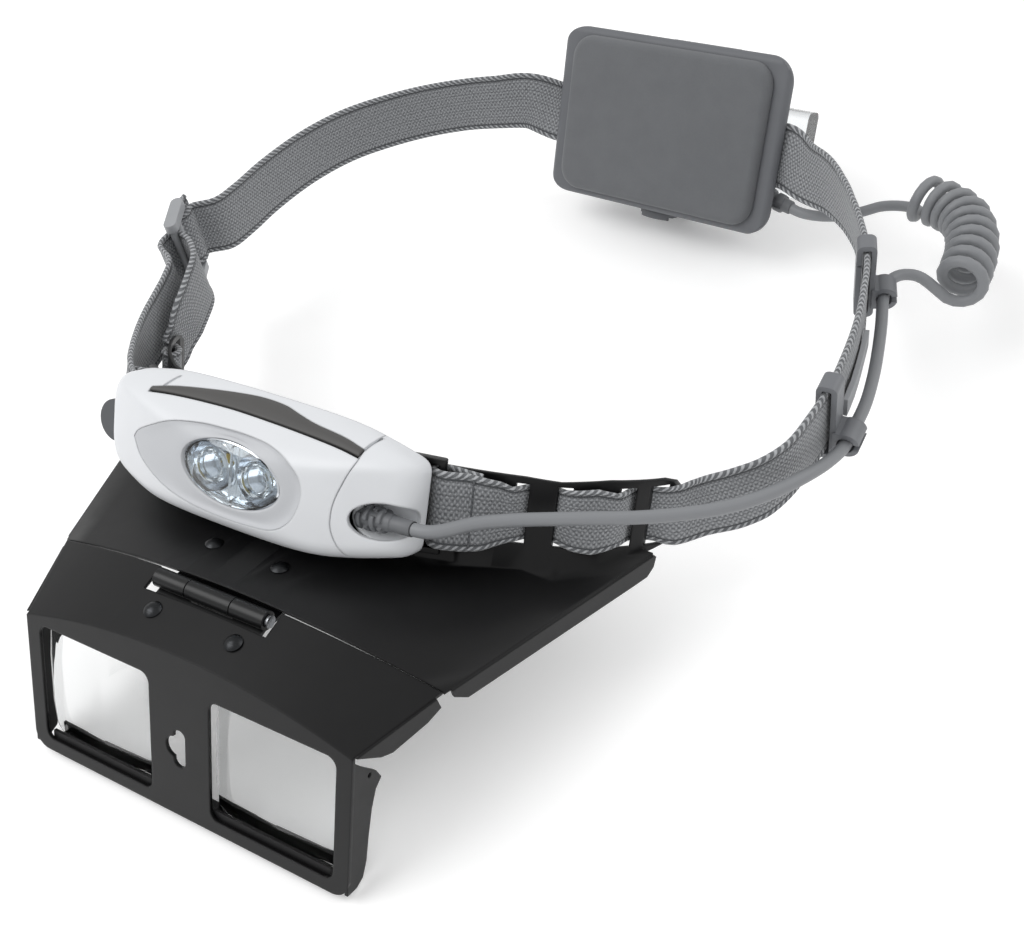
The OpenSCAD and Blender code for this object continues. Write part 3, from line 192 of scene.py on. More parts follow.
def spline(points: Sequence[Vector], step_mm: float) -> list[Vector]:
    """Smooth line through points by centripetal interpolation.

    Args:
        points: Points in millimetres.
        step_mm: Rough distance between the points of the result.

    Returns:
        Points in millimetres, the first and last among them.
    """
    first = points[0] * 2 - points[1]
    last = points[-1] * 2 - points[-2]
    p = [first, *points, last]
    out: list[Vector] = []
    for i in range(1, len(p) - 2):
        a, b, c, d = p[i - 1], p[i], p[i + 1], p[i + 2]
        t0 = 0.0
        t1 = t0 + max((b - a).length, 1e-6) ** 0.5
        t2 = t1 + max((c - b).length, 1e-6) ** 0.5
        t3 = t2 + max((d - c).length, 1e-6) ** 0.5
        count = max(1, round((c - b).length / step_mm))
        for k in range(count):
            t = t1 + (t2 - t1) * k / count
            a1 = a * ((t1 - t) / (t1 - t0)) + b * ((t - t0) / (t1 - t0))
            a2 = b * ((t2 - t) / (t2 - t1)) + c * ((t - t1) / (t2 - t1))
            a3 = c * ((t3 - t) / (t3 - t2)) + d * ((t - t2) / (t3 - t2))
            b1 = a1 * ((t2 - t) / (t2 - t0)) + a2 * ((t - t0) / (t2 - t0))
            b2 = a2 * ((t3 - t) / (t3 - t1)) + a3 * ((t - t1) / (t3 - t1))
            out.append(b1 * ((t2 - t) / (t2 - t1)) + b2 * ((t - t1) / (t2 - t1)))
    out.append(p[-2])
    return out


@dataclass(frozen=True)
class Place:
    """A sub-assembly's own frame, in millimetres of the row frame."""

    origin: Point
    ex: Point
    ey: Point
    ez: Point

    def matrix(self) -> Matrix:
        """Matrix from millimetres in this frame to metres in the row frame."""
        cols = [Vector(v).normalized() * MM for v in (self.ex, self.ey, self.ez)]
        out = Matrix.Identity(4)
        for j, col in enumerate(cols):
            for i in range(3):
                out[i][j] = col[i]
        for i in range(3):
            out[i][3] = self.origin[i] * MM
        return out

    def seat(self, obj: bpy.types.Object) -> bpy.types.Object:
        """Put obj, modelled in this frame's millimetres, in its place in its mesh."""
        obj.data.transform(self.matrix() @ obj.matrix_world)
        obj.matrix_world = Matrix.Identity(4)
        return obj


LAMP_PLACE = Place((-13.0, -104.7, 9.6), (1, 0, 0), (0, 0.84805, -0.52992), (0, 0.52992, 0.84805))
BOX_PLACE = Place((12.7, 86.8, 2.9), (0.99202, -0.11934, 0.04077), (0.12509, 0.89005, -0.43837),
                  (0.01603, 0.43997, 0.89787))


# ---------------------------------------------------------------- finishes
class Finish(ABC):
    """A surface that a real piece has."""

    name: str

    @abstractmethod
    def paint(self, tree: bpy.types.NodeTree, shader: bpy.types.Node) -> None:
        """Join the finish's nodes to a Principled shader."""

    def material(self) -> bpy.types.Material:
        """The Blender material of this finish, made once."""
        found = bpy.data.materials.get(self.name)
        if found:
            return found
        made = bpy.data.materials.new(self.name)
        made.use_nodes = True
        made.node_tree.nodes.clear()
        shader = add_node(made.node_tree, "ShaderNodeBsdfPrincipled")
        add_node(made.node_tree, "ShaderNodeOutputMaterial", None, {"Surface": shader.outputs[0]})
        self.paint(made.node_tree, shader)
        return made

    @staticmethod
    def stain(tree: bpy.types.NodeTree, shader: bpy.types.Node, ends: tuple[str, str],
              by: bpy.types.NodeSocket) -> None:
        """Let the colour run from one end to the other by a socket."""
        mix = add_node(tree, "ShaderNodeMix", {"data_type": "RGBA", 6: srgb(ends[0]), 7: srgb(ends[1])},
                       {0: by})
        tree.links.new(mix.outputs[2], shader.inputs["Base Color"])

    @staticmethod
    def polish(tree: bpy.types.NodeTree, shader: bpy.types.Node, low: float, high: float,
               by: bpy.types.NodeSocket) -> None:
        """Let the roughness run from low to high by a socket."""
        gloss = add_node(tree, "ShaderNodeMapRange", {3: low, 4: high}, {0: by})
        tree.links.new(gloss.outputs[0], shader.inputs["Roughness"])

    @staticmethod
    def emboss(tree: bpy.types.NodeTree, shader: bpy.types.Node, strength: float, depth_mm: float,
               links: dict) -> None:
        """Bump the surface by the sockets given for Height and Normal."""
        bump = add_node(tree, "ShaderNodeBump", {"Strength": strength, "Distance": depth_mm * MM}, links)
        tree.links.new(bump.outputs[0], shader.inputs["Normal"])

    @staticmethod
    def ramp_ends(ramp: bpy.types.Node, low: tuple[float, str], high: tuple[float, str]) -> None:
        """Set the place and colour of a ramp's two ends."""
        for k, (place, colour) in enumerate((low, high)):
            ramp.color_ramp.elements[k].position = place
            ramp.color_ramp.elements[k].color = srgb(colour)


@dataclass(frozen=True)
class MouldedPlastic(Finish):
    """Injection moulded plastic with a spark eroded grain, its edges softly rounded by the mould."""

    name: str
    colour: str
    tint: str
    roughness: float
    grain_mm: float = 0.5
    grain_depth_mm: float = 0.02
    edge_mm: float = 0.35
    coat: float = 0.0
    specular: float = 0.5

    def paint(self, tree: bpy.types.NodeTree, shader: bpy.types.Node) -> None:
        """Cloudy colour, uneven gloss, mould grain and rounded edges."""
        where = add_node(tree, "ShaderNodeTexCoord").outputs["Object"]
        cloud = add_node(tree, "ShaderNodeTexNoise", {"Scale": per_mm(14), "Detail": 3.0}, {"Vector": where})
        self.stain(tree, shader, (self.colour, self.tint), cloud.outputs[0])
        wear = add_node(tree, "ShaderNodeTexNoise", {"Scale": per_mm(5), "Detail": 4.0, "Roughness": 0.6},
                        {"Vector": where})
        self.polish(tree, shader, self.roughness - 0.05, self.roughness + 0.07, wear.outputs[0])
        grain = add_node(tree, "ShaderNodeTexNoise", {"Scale": per_mm(self.grain_mm), "Detail": 2.0},
                         {"Vector": where})
        edge = add_node(tree, "ShaderNodeBevel", {"samples": 4, "Radius": self.edge_mm * MM})
        self.emboss(tree, shader, 0.6, self.grain_depth_mm,
                    {"Height": grain.outputs[0], "Normal": edge.outputs[0]})
        shader.inputs["IOR"].default_value = 1.5
        shader.inputs["Specular IOR Level"].default_value = self.specular
        shader.inputs["Coat Weight"].default_value = self.coat
        shader.inputs["Coat Roughness"].default_value = 0.25


@dataclass(frozen=True)
class ClearAcrylic(Finish):
    """Clear moulded or polished acrylic, with the faint haze that handling leaves."""

    name: str
    colour: str = "#f4f8fa"
    roughness: float = 0.03
    haze: float = 0.05

    def paint(self, tree: bpy.types.NodeTree, shader: bpy.types.Node) -> None:
        """Nearly clear body with uneven polish."""
        where = add_node(tree, "ShaderNodeTexCoord").outputs["Object"]
        haze = add_node(tree, "ShaderNodeTexNoise", {"Scale": per_mm(9), "Detail": 4.0}, {"Vector": where})
        self.polish(tree, shader, self.roughness, self.roughness + self.haze, haze.outputs[0])
        shader.inputs["Base Color"].default_value = srgb(self.colour)
        shader.inputs["Transmission Weight"].default_value = 1.0
        shader.inputs["IOR"].default_value = 1.49


@dataclass(frozen=True)
class PlatedMetal(Finish):
    """Drawn, plated or vacuum metallised metal; fine lines run along the drawing direction."""

    name: str
    colour: str
    tint: str
    roughness: float
    line_mm: float = 0.3

    def paint(self, tree: bpy.types.NodeTree, shader: bpy.types.Node) -> None:
        """Bright metal with stretched noise for its drawing lines."""
        where = add_node(tree, "ShaderNodeTexCoord").outputs["Object"]
        lines = add_node(tree, "ShaderNodeMapping", {"Scale": (0.12, 1.0, 1.0)}, {"Vector": where})
        noise = add_node(tree, "ShaderNodeTexNoise", {"Scale": per_mm(self.line_mm), "Detail": 3.0},
                         {"Vector": lines.outputs[0]})
        self.stain(tree, shader, (self.colour, self.tint), noise.outputs[0])
        self.polish(tree, shader, self.roughness * 0.7, self.roughness * 1.4, noise.outputs[0])
        shader.inputs["Metallic"].default_value = 1.0


@dataclass(frozen=True)
class WovenElastic(Finish):
    """Heather elastic webbing: knitted face, twisted white-flecked cord along each edge.

    The stitches are about 0.6 mm in the real webbing; they are drawn at 1.1 mm so that they show.
    """

    name: str
    colour: str = "#7b7d80"
    # dark: the colour of the painted shade in the stitch valleys and of the darkest heather
    dark: str = "#55575a"
    fleck: str = "#a9abae"
    stitch_mm: float = 1.1
    row_mm: float = 1.3
    width_mm: float = 22.0
    edge_mm: float = 1.7

    def paint(self, tree: bpy.types.NodeTree, shader: bpy.types.Node) -> None:
        """Stitch rows from two slanted waves with painted shade in their valleys, heather from noise, flecks
        on the edge cords, painted shade in the groove beside each cord.
        """
        uv = add_node(tree, "ShaderNodeTexCoord").outputs["UV"]
        waves = []
        for turn in (0.62, -0.62):
            lean = add_node(tree, "ShaderNodeMapping", {"Rotation": (0, 0, turn)}, {"Vector": uv})
            waves.append(add_node(tree, "ShaderNodeTexWave", {"Scale": wave_scale(self.stitch_mm),
                                  "Distortion": 0.6, "Detail": 1.0}, {"Vector": lean.outputs[0]}).outputs[1])
        knit = add_node(tree, "ShaderNodeMath", {"operation": "MULTIPLY"}, {0: waves[0], 1: waves[1]})
        rows = add_node(tree, "ShaderNodeTexWave", {"Scale": wave_scale(self.row_mm), "bands_direction": "Y"},
                        {"Vector": uv})
        height = add_node(tree, "ShaderNodeMath", {"operation": "MULTIPLY_ADD", 1: 0.35},
                          {0: rows.outputs[1], 2: knit.outputs[0]})
        yarn = add_node(tree, "ShaderNodeTexNoise", {"Scale": 1.1, "Detail": 5.0, "Roughness": 0.75},
                        {"Vector": uv})
        # Painted shade: the colour follows the stitch height, darker in the valleys between stitches and
        # lighter on their crowns, mixed with the yarn's heather from noise
        shade = add_node(tree, "ShaderNodeMath", {"operation": "MULTIPLY_ADD", 1: 0.55},
                         {0: height.outputs[0], 2: yarn.outputs[0]})
        ramp = add_node(tree, "ShaderNodeValToRGB", None, {0: shade.outputs[0]})
        self.ramp_ends(ramp, (0.42, self.dark), (0.98, "#a0a2a5"))
        middle = ramp.color_ramp.elements.new(0.66)
        middle.color = srgb(self.colour)
        split = add_node(tree, "ShaderNodeSeparateXYZ", None, {0: uv})
        centre = add_node(tree, "ShaderNodeMath", {"operation": "SUBTRACT", 1: self.width_mm / 2},
                          {0: split.outputs[1]})
        off = add_node(tree, "ShaderNodeMath", {"operation": "ABSOLUTE"}, {0: centre.outputs[0]})
        half = self.width_mm / 2
        on_edge = add_node(tree, "ShaderNodeMath", {"operation": "GREATER_THAN", 1: half - self.edge_mm},
                           {0: off.outputs[0]})
        lean = add_node(tree, "ShaderNodeMapping", {"Rotation": (0, 0, 0.9)}, {"Vector": uv})
        twist = add_node(tree, "ShaderNodeTexWave", {"Scale": wave_scale(1.25), "Distortion": 0.8},
                         {"Vector": lean.outputs[0]})
        flecks = add_node(tree, "ShaderNodeValToRGB", None, {0: twist.outputs[1]})
        self.ramp_ends(flecks, (0.45, "#626467"), (0.8, self.fleck))
        # Painted shade: a darker band, #4c4e51, along the groove between each edge cord and the knitted body,
        # where the section dips
        painted_groove_shade = add_node(tree, "ShaderNodeMath",
                             {"operation": "COMPARE", 1: half - self.edge_mm - 0.25, 2: 0.35},
                             {0: off.outputs[0]})
        body = add_node(tree, "ShaderNodeMix", {"data_type": "RGBA", 7: srgb("#4c4e51")},
                        {0: painted_groove_shade.outputs[0], 6: ramp.outputs[0]})
        whole = add_node(tree, "ShaderNodeMix", {"data_type": "RGBA"},
                         {0: on_edge.outputs[0], 6: body.outputs[2], 7: flecks.outputs[0]})
        tree.links.new(whole.outputs[2], shader.inputs["Base Color"])
        self.emboss(tree, shader, 0.9, 0.28, {"Height": height.outputs[0]})
        shader.inputs["Roughness"].default_value = 0.88
        shader.inputs["Sheen Weight"].default_value = 0.25
        shader.inputs["Sheen Roughness"].default_value = 0.5


@dataclass(frozen=True)
class CordJacket(Finish):
    """Extruded soft plastic cord jacket: dull sheen, faint lengthwise draw lines."""

    name: str
    colour: str
    tint: str

    def paint(self, tree: bpy.types.NodeTree, shader: bpy.types.Node) -> None:
        """Draw lines along the UV and slow changes of shade."""
        uv = add_node(tree, "ShaderNodeTexCoord").outputs["UV"]
        long = add_node(tree, "ShaderNodeMapping", {"Scale": (0.02, 3.0, 1.0)}, {"Vector": uv})
        lines = add_node(tree, "ShaderNodeTexNoise", {"Scale": 2.0, "Detail": 3.0},
                         {"Vector": long.outputs[0]})
        self.stain(tree, shader, (self.colour, self.tint), lines.outputs[0])
        self.polish(tree, shader, 0.42, 0.56, lines.outputs[0])
        self.emboss(tree, shader, 0.3, 0.03, {"Height": lines.outputs[0]})


@dataclass(frozen=True)
class FoamSkin(Finish):
    """Closed cell foam with a pressed skin: matt, finely pitted, faintly cloudy in tone."""

    name: str
    colour: str
    tint: str
    pit_mm: float = 0.55

    def paint(self, tree: bpy.types.NodeTree, shader: bpy.types.Node) -> None:
        """Pitted skin from cells of noise."""
        where = add_node(tree, "ShaderNodeTexCoord").outputs["Object"]
        cloud = add_node(tree, "ShaderNodeTexNoise", {"Scale": per_mm(7), "Detail": 4.0}, {"Vector": where})
        speck = add_node(tree, "ShaderNodeTexNoise", {"Scale": per_mm(self.pit_mm), "Detail": 3.0},
                         {"Vector": where})
        both = add_node(tree, "ShaderNodeMath", {"operation": "MULTIPLY_ADD", 1: 0.6},
                        {0: speck.outputs[0], 2: cloud.outputs[0]})
        ramp = add_node(tree, "ShaderNodeValToRGB", None, {0: both.outputs[0]})
        self.ramp_ends(ramp, (0.55, self.tint), (1.05, self.colour))
        tree.links.new(ramp.outputs[0], shader.inputs["Base Color"])
        self.emboss(tree, shader, 0.5, 0.08, {"Height": speck.outputs[0]})
        shader.inputs["Roughness"].default_value = 0.8
        shader.inputs["Sheen Weight"].default_value = 0.15


VISOR_BLACK = MouldedPlastic("satin_black_abs", "#111112", "#0c0c0d", 0.36, 0.7, 0.012, 0.7, specular=0.28)
RAIL_BLACK = MouldedPlastic("dull_black_abs", "#0f0f10", "#0b0b0c", 0.45, specular=0.25)
CRADLE_BLACK = MouldedPlastic("black_nylon", "#111112", "#0c0c0d", 0.3, 0.8, 0.015, 0.6, specular=0.3)
HINGE_BLACK = MouldedPlastic("baked_black_paint", "#121213", "#171819", 0.3, 0.9, 0.012, 0.2, specular=0.35)
RIVET_BLACK = PlatedMetal("blackened_rivet_steel", "#3c3d3f", "#2a2b2c", 0.3)
SHELL_WHITE = MouldedPlastic("satin_white_abs", "#dddfe2", "#d7d9dc", 0.38, 0.8, 0.008, 0.8)
BEZEL_GREY = MouldedPlastic("pale_grey_abs", "#c1c3c6", "#bbbdc1", 0.5, 0.5, 0.015, 0.4)
SWITCH_GREY = MouldedPlastic("soft_dark_grey_elastomer", "#4e4d4c", "#464544", 0.55, 0.4, 0.02, 0.5)
BACK_GREY = MouldedPlastic("dark_grey_abs", "#55575a", "#4d4f52", 0.5)
BUCKLE_GREY = MouldedPlastic("light_grey_acetal", "#9b9da0", "#939598", 0.42, 0.6, 0.015, 0.5)
CLIP_GREY = MouldedPlastic("mid_grey_nylon", "#74767a", "#6b6d71", 0.4, 0.6, 0.015, 0.5)
STRIP_GREY = MouldedPlastic("light_grey_strip", "#a8aaad", "#9fa1a4", 0.48, 0.6, 0.015, 0.3)
BOX_GREY = MouldedPlastic("matte_grey_abs", "#67696d", "#606266", 0.55, 0.45, 0.03, 0.9)
BOARD_WHITE = MouldedPlastic("white_solder_lacquer", "#dfe0da", "#d5d6d0", 0.35)
CELL_WRAP = MouldedPlastic("plain_cell_sleeve", "#4c5158", "#454a51", 0.28, 1.2, 0.01, 0.3, 0.4)
LED_RED = MouldedPlastic("red_diode_resin", "#b23a2e", "#9c2f25", 0.2)
STRAIN_GREY = MouldedPlastic("soft_grey_elastomer", "#6d6f72", "#636568", 0.5, 0.5, 0.015, 0.4)
LENS_CLEAR = ClearAcrylic("polished_acrylic", "#fdfefe", 0.0, 0.02)
COVER_CLEAR = ClearAcrylic("clear_lamp_cover", "#f6fafc")
WINDOW_CLEAR = ClearAcrylic("frosted_clear_moulding", "#f8fafb", 0.12, 0.12)
PIN_STEEL = PlatedMetal("drawn_steel", "#a3a5a8", "#84868a", 0.28)
CONTACT_STEEL = PlatedMetal("nickel_plate", "#c9c8c2", "#adaca6", 0.22)
MIRROR_BRIGHT = PlatedMetal("vacuum_metallised", "#e3e6ea", "#c9ced4", 0.12, 2.0)
SINK_ALUMINIUM = PlatedMetal("extruded_aluminium", "#b9bbbe", "#a2a4a8", 0.3)
PHOSPHOR = MouldedPlastic("yellow_phosphor", "#e5c83a", "#d6b52a", 0.4)
STRAP_WEAVE = WovenElastic("heather_elastic")
CORD_GREY = CordJacket("grey_cord_jacket", "#86888b", "#7c7e81")
PAD_FOAM = FoamSkin("pressed_foam_skin", "#646669", "#606265")


# ---------------------------------------------------------------- studio
@dataclass
class Studio:
    """Camera, lights and pale floor."""

    eye: Point = (191.01, -266.83, 243.59)
    turn_deg: float = 37.74
    rise_deg: float = 45.28
    roll_deg: float = -11.87
    lens_mm: float = 43.73
    sky: float = 0.72

    def camera(self) -> bpy.types.Object:
        """Stand the camera where the photograph was taken from."""
        a, e, r = (math.radians(v) for v in (self.turn_deg, self.rise_deg, self.roll_deg))
        back = Vector((math.sin(a) * math.cos(e), -math.cos(a) * math.cos(e), math.sin(e)))
        right = (-back).cross(Vector((0, 0, 1))).normalized()
        up = right.cross(-back)
        rolled = right * math.cos(r) + up * math.sin(r)
        over = up * math.cos(r) - right * math.sin(r)
        data = bpy.data.cameras.new("camera")
        data.sensor_width = 36.0
        data.lens = self.lens_mm
        data.clip_start = 0.01
        cam = link_object("camera", data)
        cam.matrix_world = Matrix((
            (rolled.x, over.x, back.x, self.eye[0] * MM),
            (rolled.y, over.y, back.y, self.eye[1] * MM),
            (rolled.z, over.z, back.z, self.eye[2] * MM),
            (0, 0, 0, 1)))
        bpy.context.scene.camera = cam
        return cam

    def world(self) -> None:
        """Even pale sky; the camera, glass and metal see it white."""
        world = bpy.data.worlds.new("studio")
        bpy.context.scene.world = world
        world.use_nodes = True
        tree = world.node_tree
        tree.nodes.clear()
        ray = add_node(tree, "ShaderNodeLightPath")
        lit = add_node(tree, "ShaderNodeBackground", {"Color": (1, 1, 1, 1), "Strength": self.sky})
        seen = add_node(tree, "ShaderNodeBackground", {"Color": (1, 1, 1, 1), "Strength": 1.0})
        mix = add_node(tree, "ShaderNodeMixShader", None,
                       {0: ray.outputs["Is Camera Ray"], 1: lit.outputs[0], 2: seen.outputs[0]})
        add_node(tree, "ShaderNodeOutputWorld", None, {"Surface": mix.outputs[0]})

    def lamp(self, name: str, at: Point, size: float, watts: float) -> bpy.types.Object:
        """Hang one soft square light that faces the object.

        Args:
            name: Name of the light.
            at: Place in metres.
            size: Side in metres.
            watts: Power.

        Returns:
            The light's object.
        """
        data = bpy.data.lights.new(name, "AREA")
        data.size = size
        data.energy = watts
        obj = link_object(name, data)
        obj.location = at
        obj.rotation_euler = (Vector((0, 0, 0)) - Vector(at)).to_track_quat("-Z", "Y").to_euler()
        return obj

    def floor(self, height: float) -> bpy.types.Object:
        """Lay the pale floor under the object.

        Args:
            height: Height of the floor in metres.

        Returns:
            The floor.
        """
        deselect()
        bpy.ops.mesh.primitive_plane_add(size=8, location=(0, 0, height))
        floor = bpy.context.object
        floor.name = "floor"
        mat = bpy.data.materials.new("pale_floor")
        mat.use_nodes = True
        mat.node_tree.nodes.clear()
        tree = mat.node_tree
        paper = add_node(tree, "ShaderNodeBsdfDiffuse", {"Color": srgb("#fbfbfb")})
        white = add_node(tree, "ShaderNodeEmission", {"Color": (1, 1, 1, 1), "Strength": 0.16})
        ray = add_node(tree, "ShaderNodeLightPath")
        glow = add_node(tree, "ShaderNodeMath", {"operation": "MAXIMUM"},
                        {0: ray.outputs["Is Camera Ray"], 1: ray.outputs["Is Glossy Ray"]})
        clear = add_node(tree, "ShaderNodeMath", {"operation": "MAXIMUM"},
                         {0: glow.outputs[0], 1: ray.outputs["Is Transmission Ray"]})
        dim = add_node(tree, "ShaderNodeMixShader", None, {0: clear.outputs[0], 2: white.outputs[0]})
        both = add_node(tree, "ShaderNodeAddShader", None, {0: paper.outputs[0], 1: dim.outputs[0]})
        add_node(tree, "ShaderNodeOutputMaterial", None, {"Surface": both.outputs[0]})
        floor.data.materials.append(mat)
        floor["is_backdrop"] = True
        return floor

    def light(self) -> None:
        """World, a large soft key over the left shoulder and a low fill, seen through the plain transform."""
        bpy.context.scene.view_settings.view_transform = "Standard"
        self.world()
        self.lamp("key", (-0.75, -0.55, 1.25), 1.1, 11.0)
        self.lamp("rim", (0.9, 0.8, 0.9), 1.0, 4.0)


# ---------------------------------------------------------------- pieces
class Dresser:
    """Common ways to finish a piece and hand it over."""

    def keep(self, nodes: Iterable[str], finish: Finish) -> None:
        """Give CAD nodes, whose shape stays, their real surface."""
        for name in nodes:
            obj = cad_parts[name]
            obj.data.materials.clear()
            obj.data.materials.append(finish.material())
            LOG.info("node %s wears %s", name, finish.name)

    def hand_over(self, obj: bpy.types.Object, body: str, finish: Finish, slot: str,
                  replaces: Sequence[str] = ()) -> bpy.types.Object:
        """Dress a new piece, set it on its body and hide the CAD nodes that it stands for.

        Args:
            obj: The piece, in its place.
            body: CAD body that it rides on.
            finish: Its surface.
            slot: Name of a material slot; not used.
            replaces: CAD nodes that it stands for.

        Returns:
            The piece.
        """
        obj.data.materials.clear()
        obj.data.materials.append(finish.material())
        if replaces:
            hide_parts(*replaces)
        if body:
            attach(obj, body)
        LOG.info("piece %s, %d faces, on %s", obj.name, len(obj.data.polygons), body)
        return obj

    def smooth_copy(self, node: str, name: str, limit_deg: float = 28.0, dissolve_deg: float = 0.0,
                    bevel_mm: float = 0.0) -> bpy.types.Object:
        """Copy a node, merge its loose triangles and smooth its soft edges.

        Args:
            node: CAD node to copy.
            name: Name of the copy.
            limit_deg: Edges sharper than this stay sharp.
            dissolve_deg: Flat areas within this angle become one face.
            bevel_mm: Width of the rounding on sharp edges.

        Returns:
            The copy, at its place.
        """
        obj = link_object(name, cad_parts[node].data.copy())
        activate(obj)
        bpy.ops.object.mode_set(mode="EDIT")
        bpy.ops.mesh.select_all(action="SELECT")
        bpy.ops.mesh.remove_doubles(threshold=2e-6)
        if dissolve_deg:
            bpy.ops.mesh.dissolve_limited(angle_limit=math.radians(dissolve_deg))
        bpy.ops.object.mode_set(mode="OBJECT")
        if bevel_mm:
            bevel = obj.modifiers.new("edges", "BEVEL")
            bevel.width = bevel_mm * MM
            bevel.segments = 3
            bevel.limit_method = "ANGLE"
            bevel.angle_limit = math.radians(40)
            bpy.ops.object.modifier_apply(modifier=bevel.name)
        bpy.ops.object.shade_smooth_by_angle(angle=math.radians(limit_deg))
        weigh = obj.modifiers.new("even", "WEIGHTED_NORMAL")
        weigh.keep_sharp = True
        bpy.ops.object.modifier_apply(modifier=weigh.name)
        return obj

    def pick(self, obj: bpy.types.Object, want: Callable[[bmesh.types.BMEdge], bool]) -> None:
        """Select the edges of obj, in edit mode, for which want holds."""
        bpy.ops.mesh.select_mode(type="EDGE")
        bpy.ops.mesh.select_all(action="DESELECT")
        bm = bmesh.from_edit_mesh(obj.data)
        for edge in bm.edges:
            edge.select_set(want(edge))
        bmesh.update_edit_mesh(obj.data)

    def slab(self, name: str, size: Point, at: Point, corner: float, front: float,
             back: float = 0.4) -> bpy.types.Object:
        """Model a rounded tablet, thin along Y, in millimetres.

        Args:
            name: Name of the piece.
            size: Length, thickness and height.
            at: Centre.
            corner: Radius of its four corners.
            front: Radius of the edge that faces -Y.
            back: Radius of the edge that faces +Y.

        Returns:
            The tablet.
        """
        deselect()
        bpy.ops.mesh.primitive_cube_add(size=1, location=at, scale=size)
        obj = bpy.context.object
        obj.name = name
        bpy.ops.object.transform_apply(location=True, rotation=True, scale=True)
        bpy.ops.object.mode_set(mode="EDIT")
        self.pick(obj, lambda e: abs(e.verts[0].co.y - e.verts[1].co.y) > size[1] * 0.5)
        bpy.ops.mesh.bevel(offset=corner, segments=8, affect="EDGES")
        low, high = at[1] - size[1] / 2 + 1e-4, at[1] + size[1] / 2 - 1e-4
        self.pick(obj, lambda e: all(v.co.y < low for v in e.verts) and len(e.link_faces) == 2
                  and abs(e.link_faces[0].normal.y - e.link_faces[1].normal.y) > 0.5)
        bpy.ops.mesh.bevel(offset=front, segments=5, affect="EDGES")
        self.pick(obj, lambda e: all(v.co.y > high for v in e.verts) and len(e.link_faces) == 2
                  and abs(e.link_faces[0].normal.y - e.link_faces[1].normal.y) > 0.5)
        bpy.ops.mesh.bevel(offset=back, segments=2, affect="EDGES")
        bpy.ops.object.mode_set(mode="OBJECT")
        bpy.ops.object.shade_smooth_by_angle(angle=math.radians(40))
        return obj


@dataclass
class Relief(Dresser):
    """Segmented strain relief: a tapered core and rows of short ribs, each row turned half a rib."""

    name: str
    start: Point
    end: Point
    ribbed: float
    whole: float
    root_r: float = 3.2
    tip_r: float = 2.5
    rows: int = 4
    per_row: int = 3

    def build(self) -> bpy.types.Object:
        """Spin the core, add the ribs and turn it along the cord."""
        bore = 1.95
        tail = 2.07
        core = [(bore, 0.0), (self.root_r - 0.5, 0.0), (self.root_r - 0.3, 0.3)]
        core += [(self.tip_r - 0.15, self.ribbed - 0.3), (self.tip_r - 0.4, self.ribbed)]
        if self.whole > self.ribbed + 1:
            core += [(tail + 0.06, self.ribbed + 0.4), (tail, self.whole - 0.3)]
        core += [(bore, self.whole)]
        verts: list[Vector] = []
        faces: list[tuple[int, ...]] = []
        self.turned(core + core[:1], 0.0, 2 * math.pi, 28, verts, faces)
        pitch = (self.ribbed - 2.6) / self.rows
        for row in range(self.rows):
            z = 1.0 + row * pitch
            out = self.root_r + 0.55 + (self.tip_r - self.root_r) * row / self.rows
            inner = out - 1.2
            rib = [(inner, z), (out - 0.15, z + 0.05), (out, z + 0.3), (out, z + pitch * 0.55),
                   (out - 0.15, z + pitch * 0.66), (inner, z + pitch * 0.7), (inner, z)]
            for k in range(self.per_row):
                turn = 2 * math.pi * (k + 0.5 * (row % 2)) / self.per_row
                self.turned(rib, turn, 2 * math.pi / self.per_row * 0.72, 9, verts, faces, caps=True)
        obj = link_mesh(self.name, verts, faces)
        along = (Vector(self.end) - Vector(self.start)).normalized()
        turn = along.to_track_quat("Z", "Y").to_matrix().to_4x4()
        obj.data.transform(Matrix.Translation(Vector(self.start) * MM) @ turn @ Matrix.Scale(MM, 4))
        mend(obj, merge=1e-6)
        bpy.ops.object.shade_smooth_by_angle(angle=math.radians(35))
        return obj

    def turned(self, profile: Sequence[tuple[float, float]], start: float, sweep: float, steps: int,
               verts: list[Vector], faces: list[tuple[int, ...]], caps: bool = False) -> None:
        """Add a closed profile of (radius, height) turned through a sweep to verts and faces."""
        base = len(verts)
        ring = profile[:-1]
        full = sweep > 2 * math.pi - 1e-6
        for i in range(steps if full else steps + 1):
            a = start + sweep * i / steps
            verts += [Vector((r * math.cos(a), r * math.sin(a), z)) for r, z in ring]
        n = len(ring)
        for i in range(steps):
            j = (i + 1) % steps if full else i + 1
            for k in range(n):
                m = (k + 1) % n
                faces.append((base + i * n + k, base + j * n + k, base + j * n + m, base + i * n + m))
        if caps:
            faces.append(tuple(base + k for k in range(n)))
            faces.append(tuple(base + steps * n + k for k in reversed(range(n))))


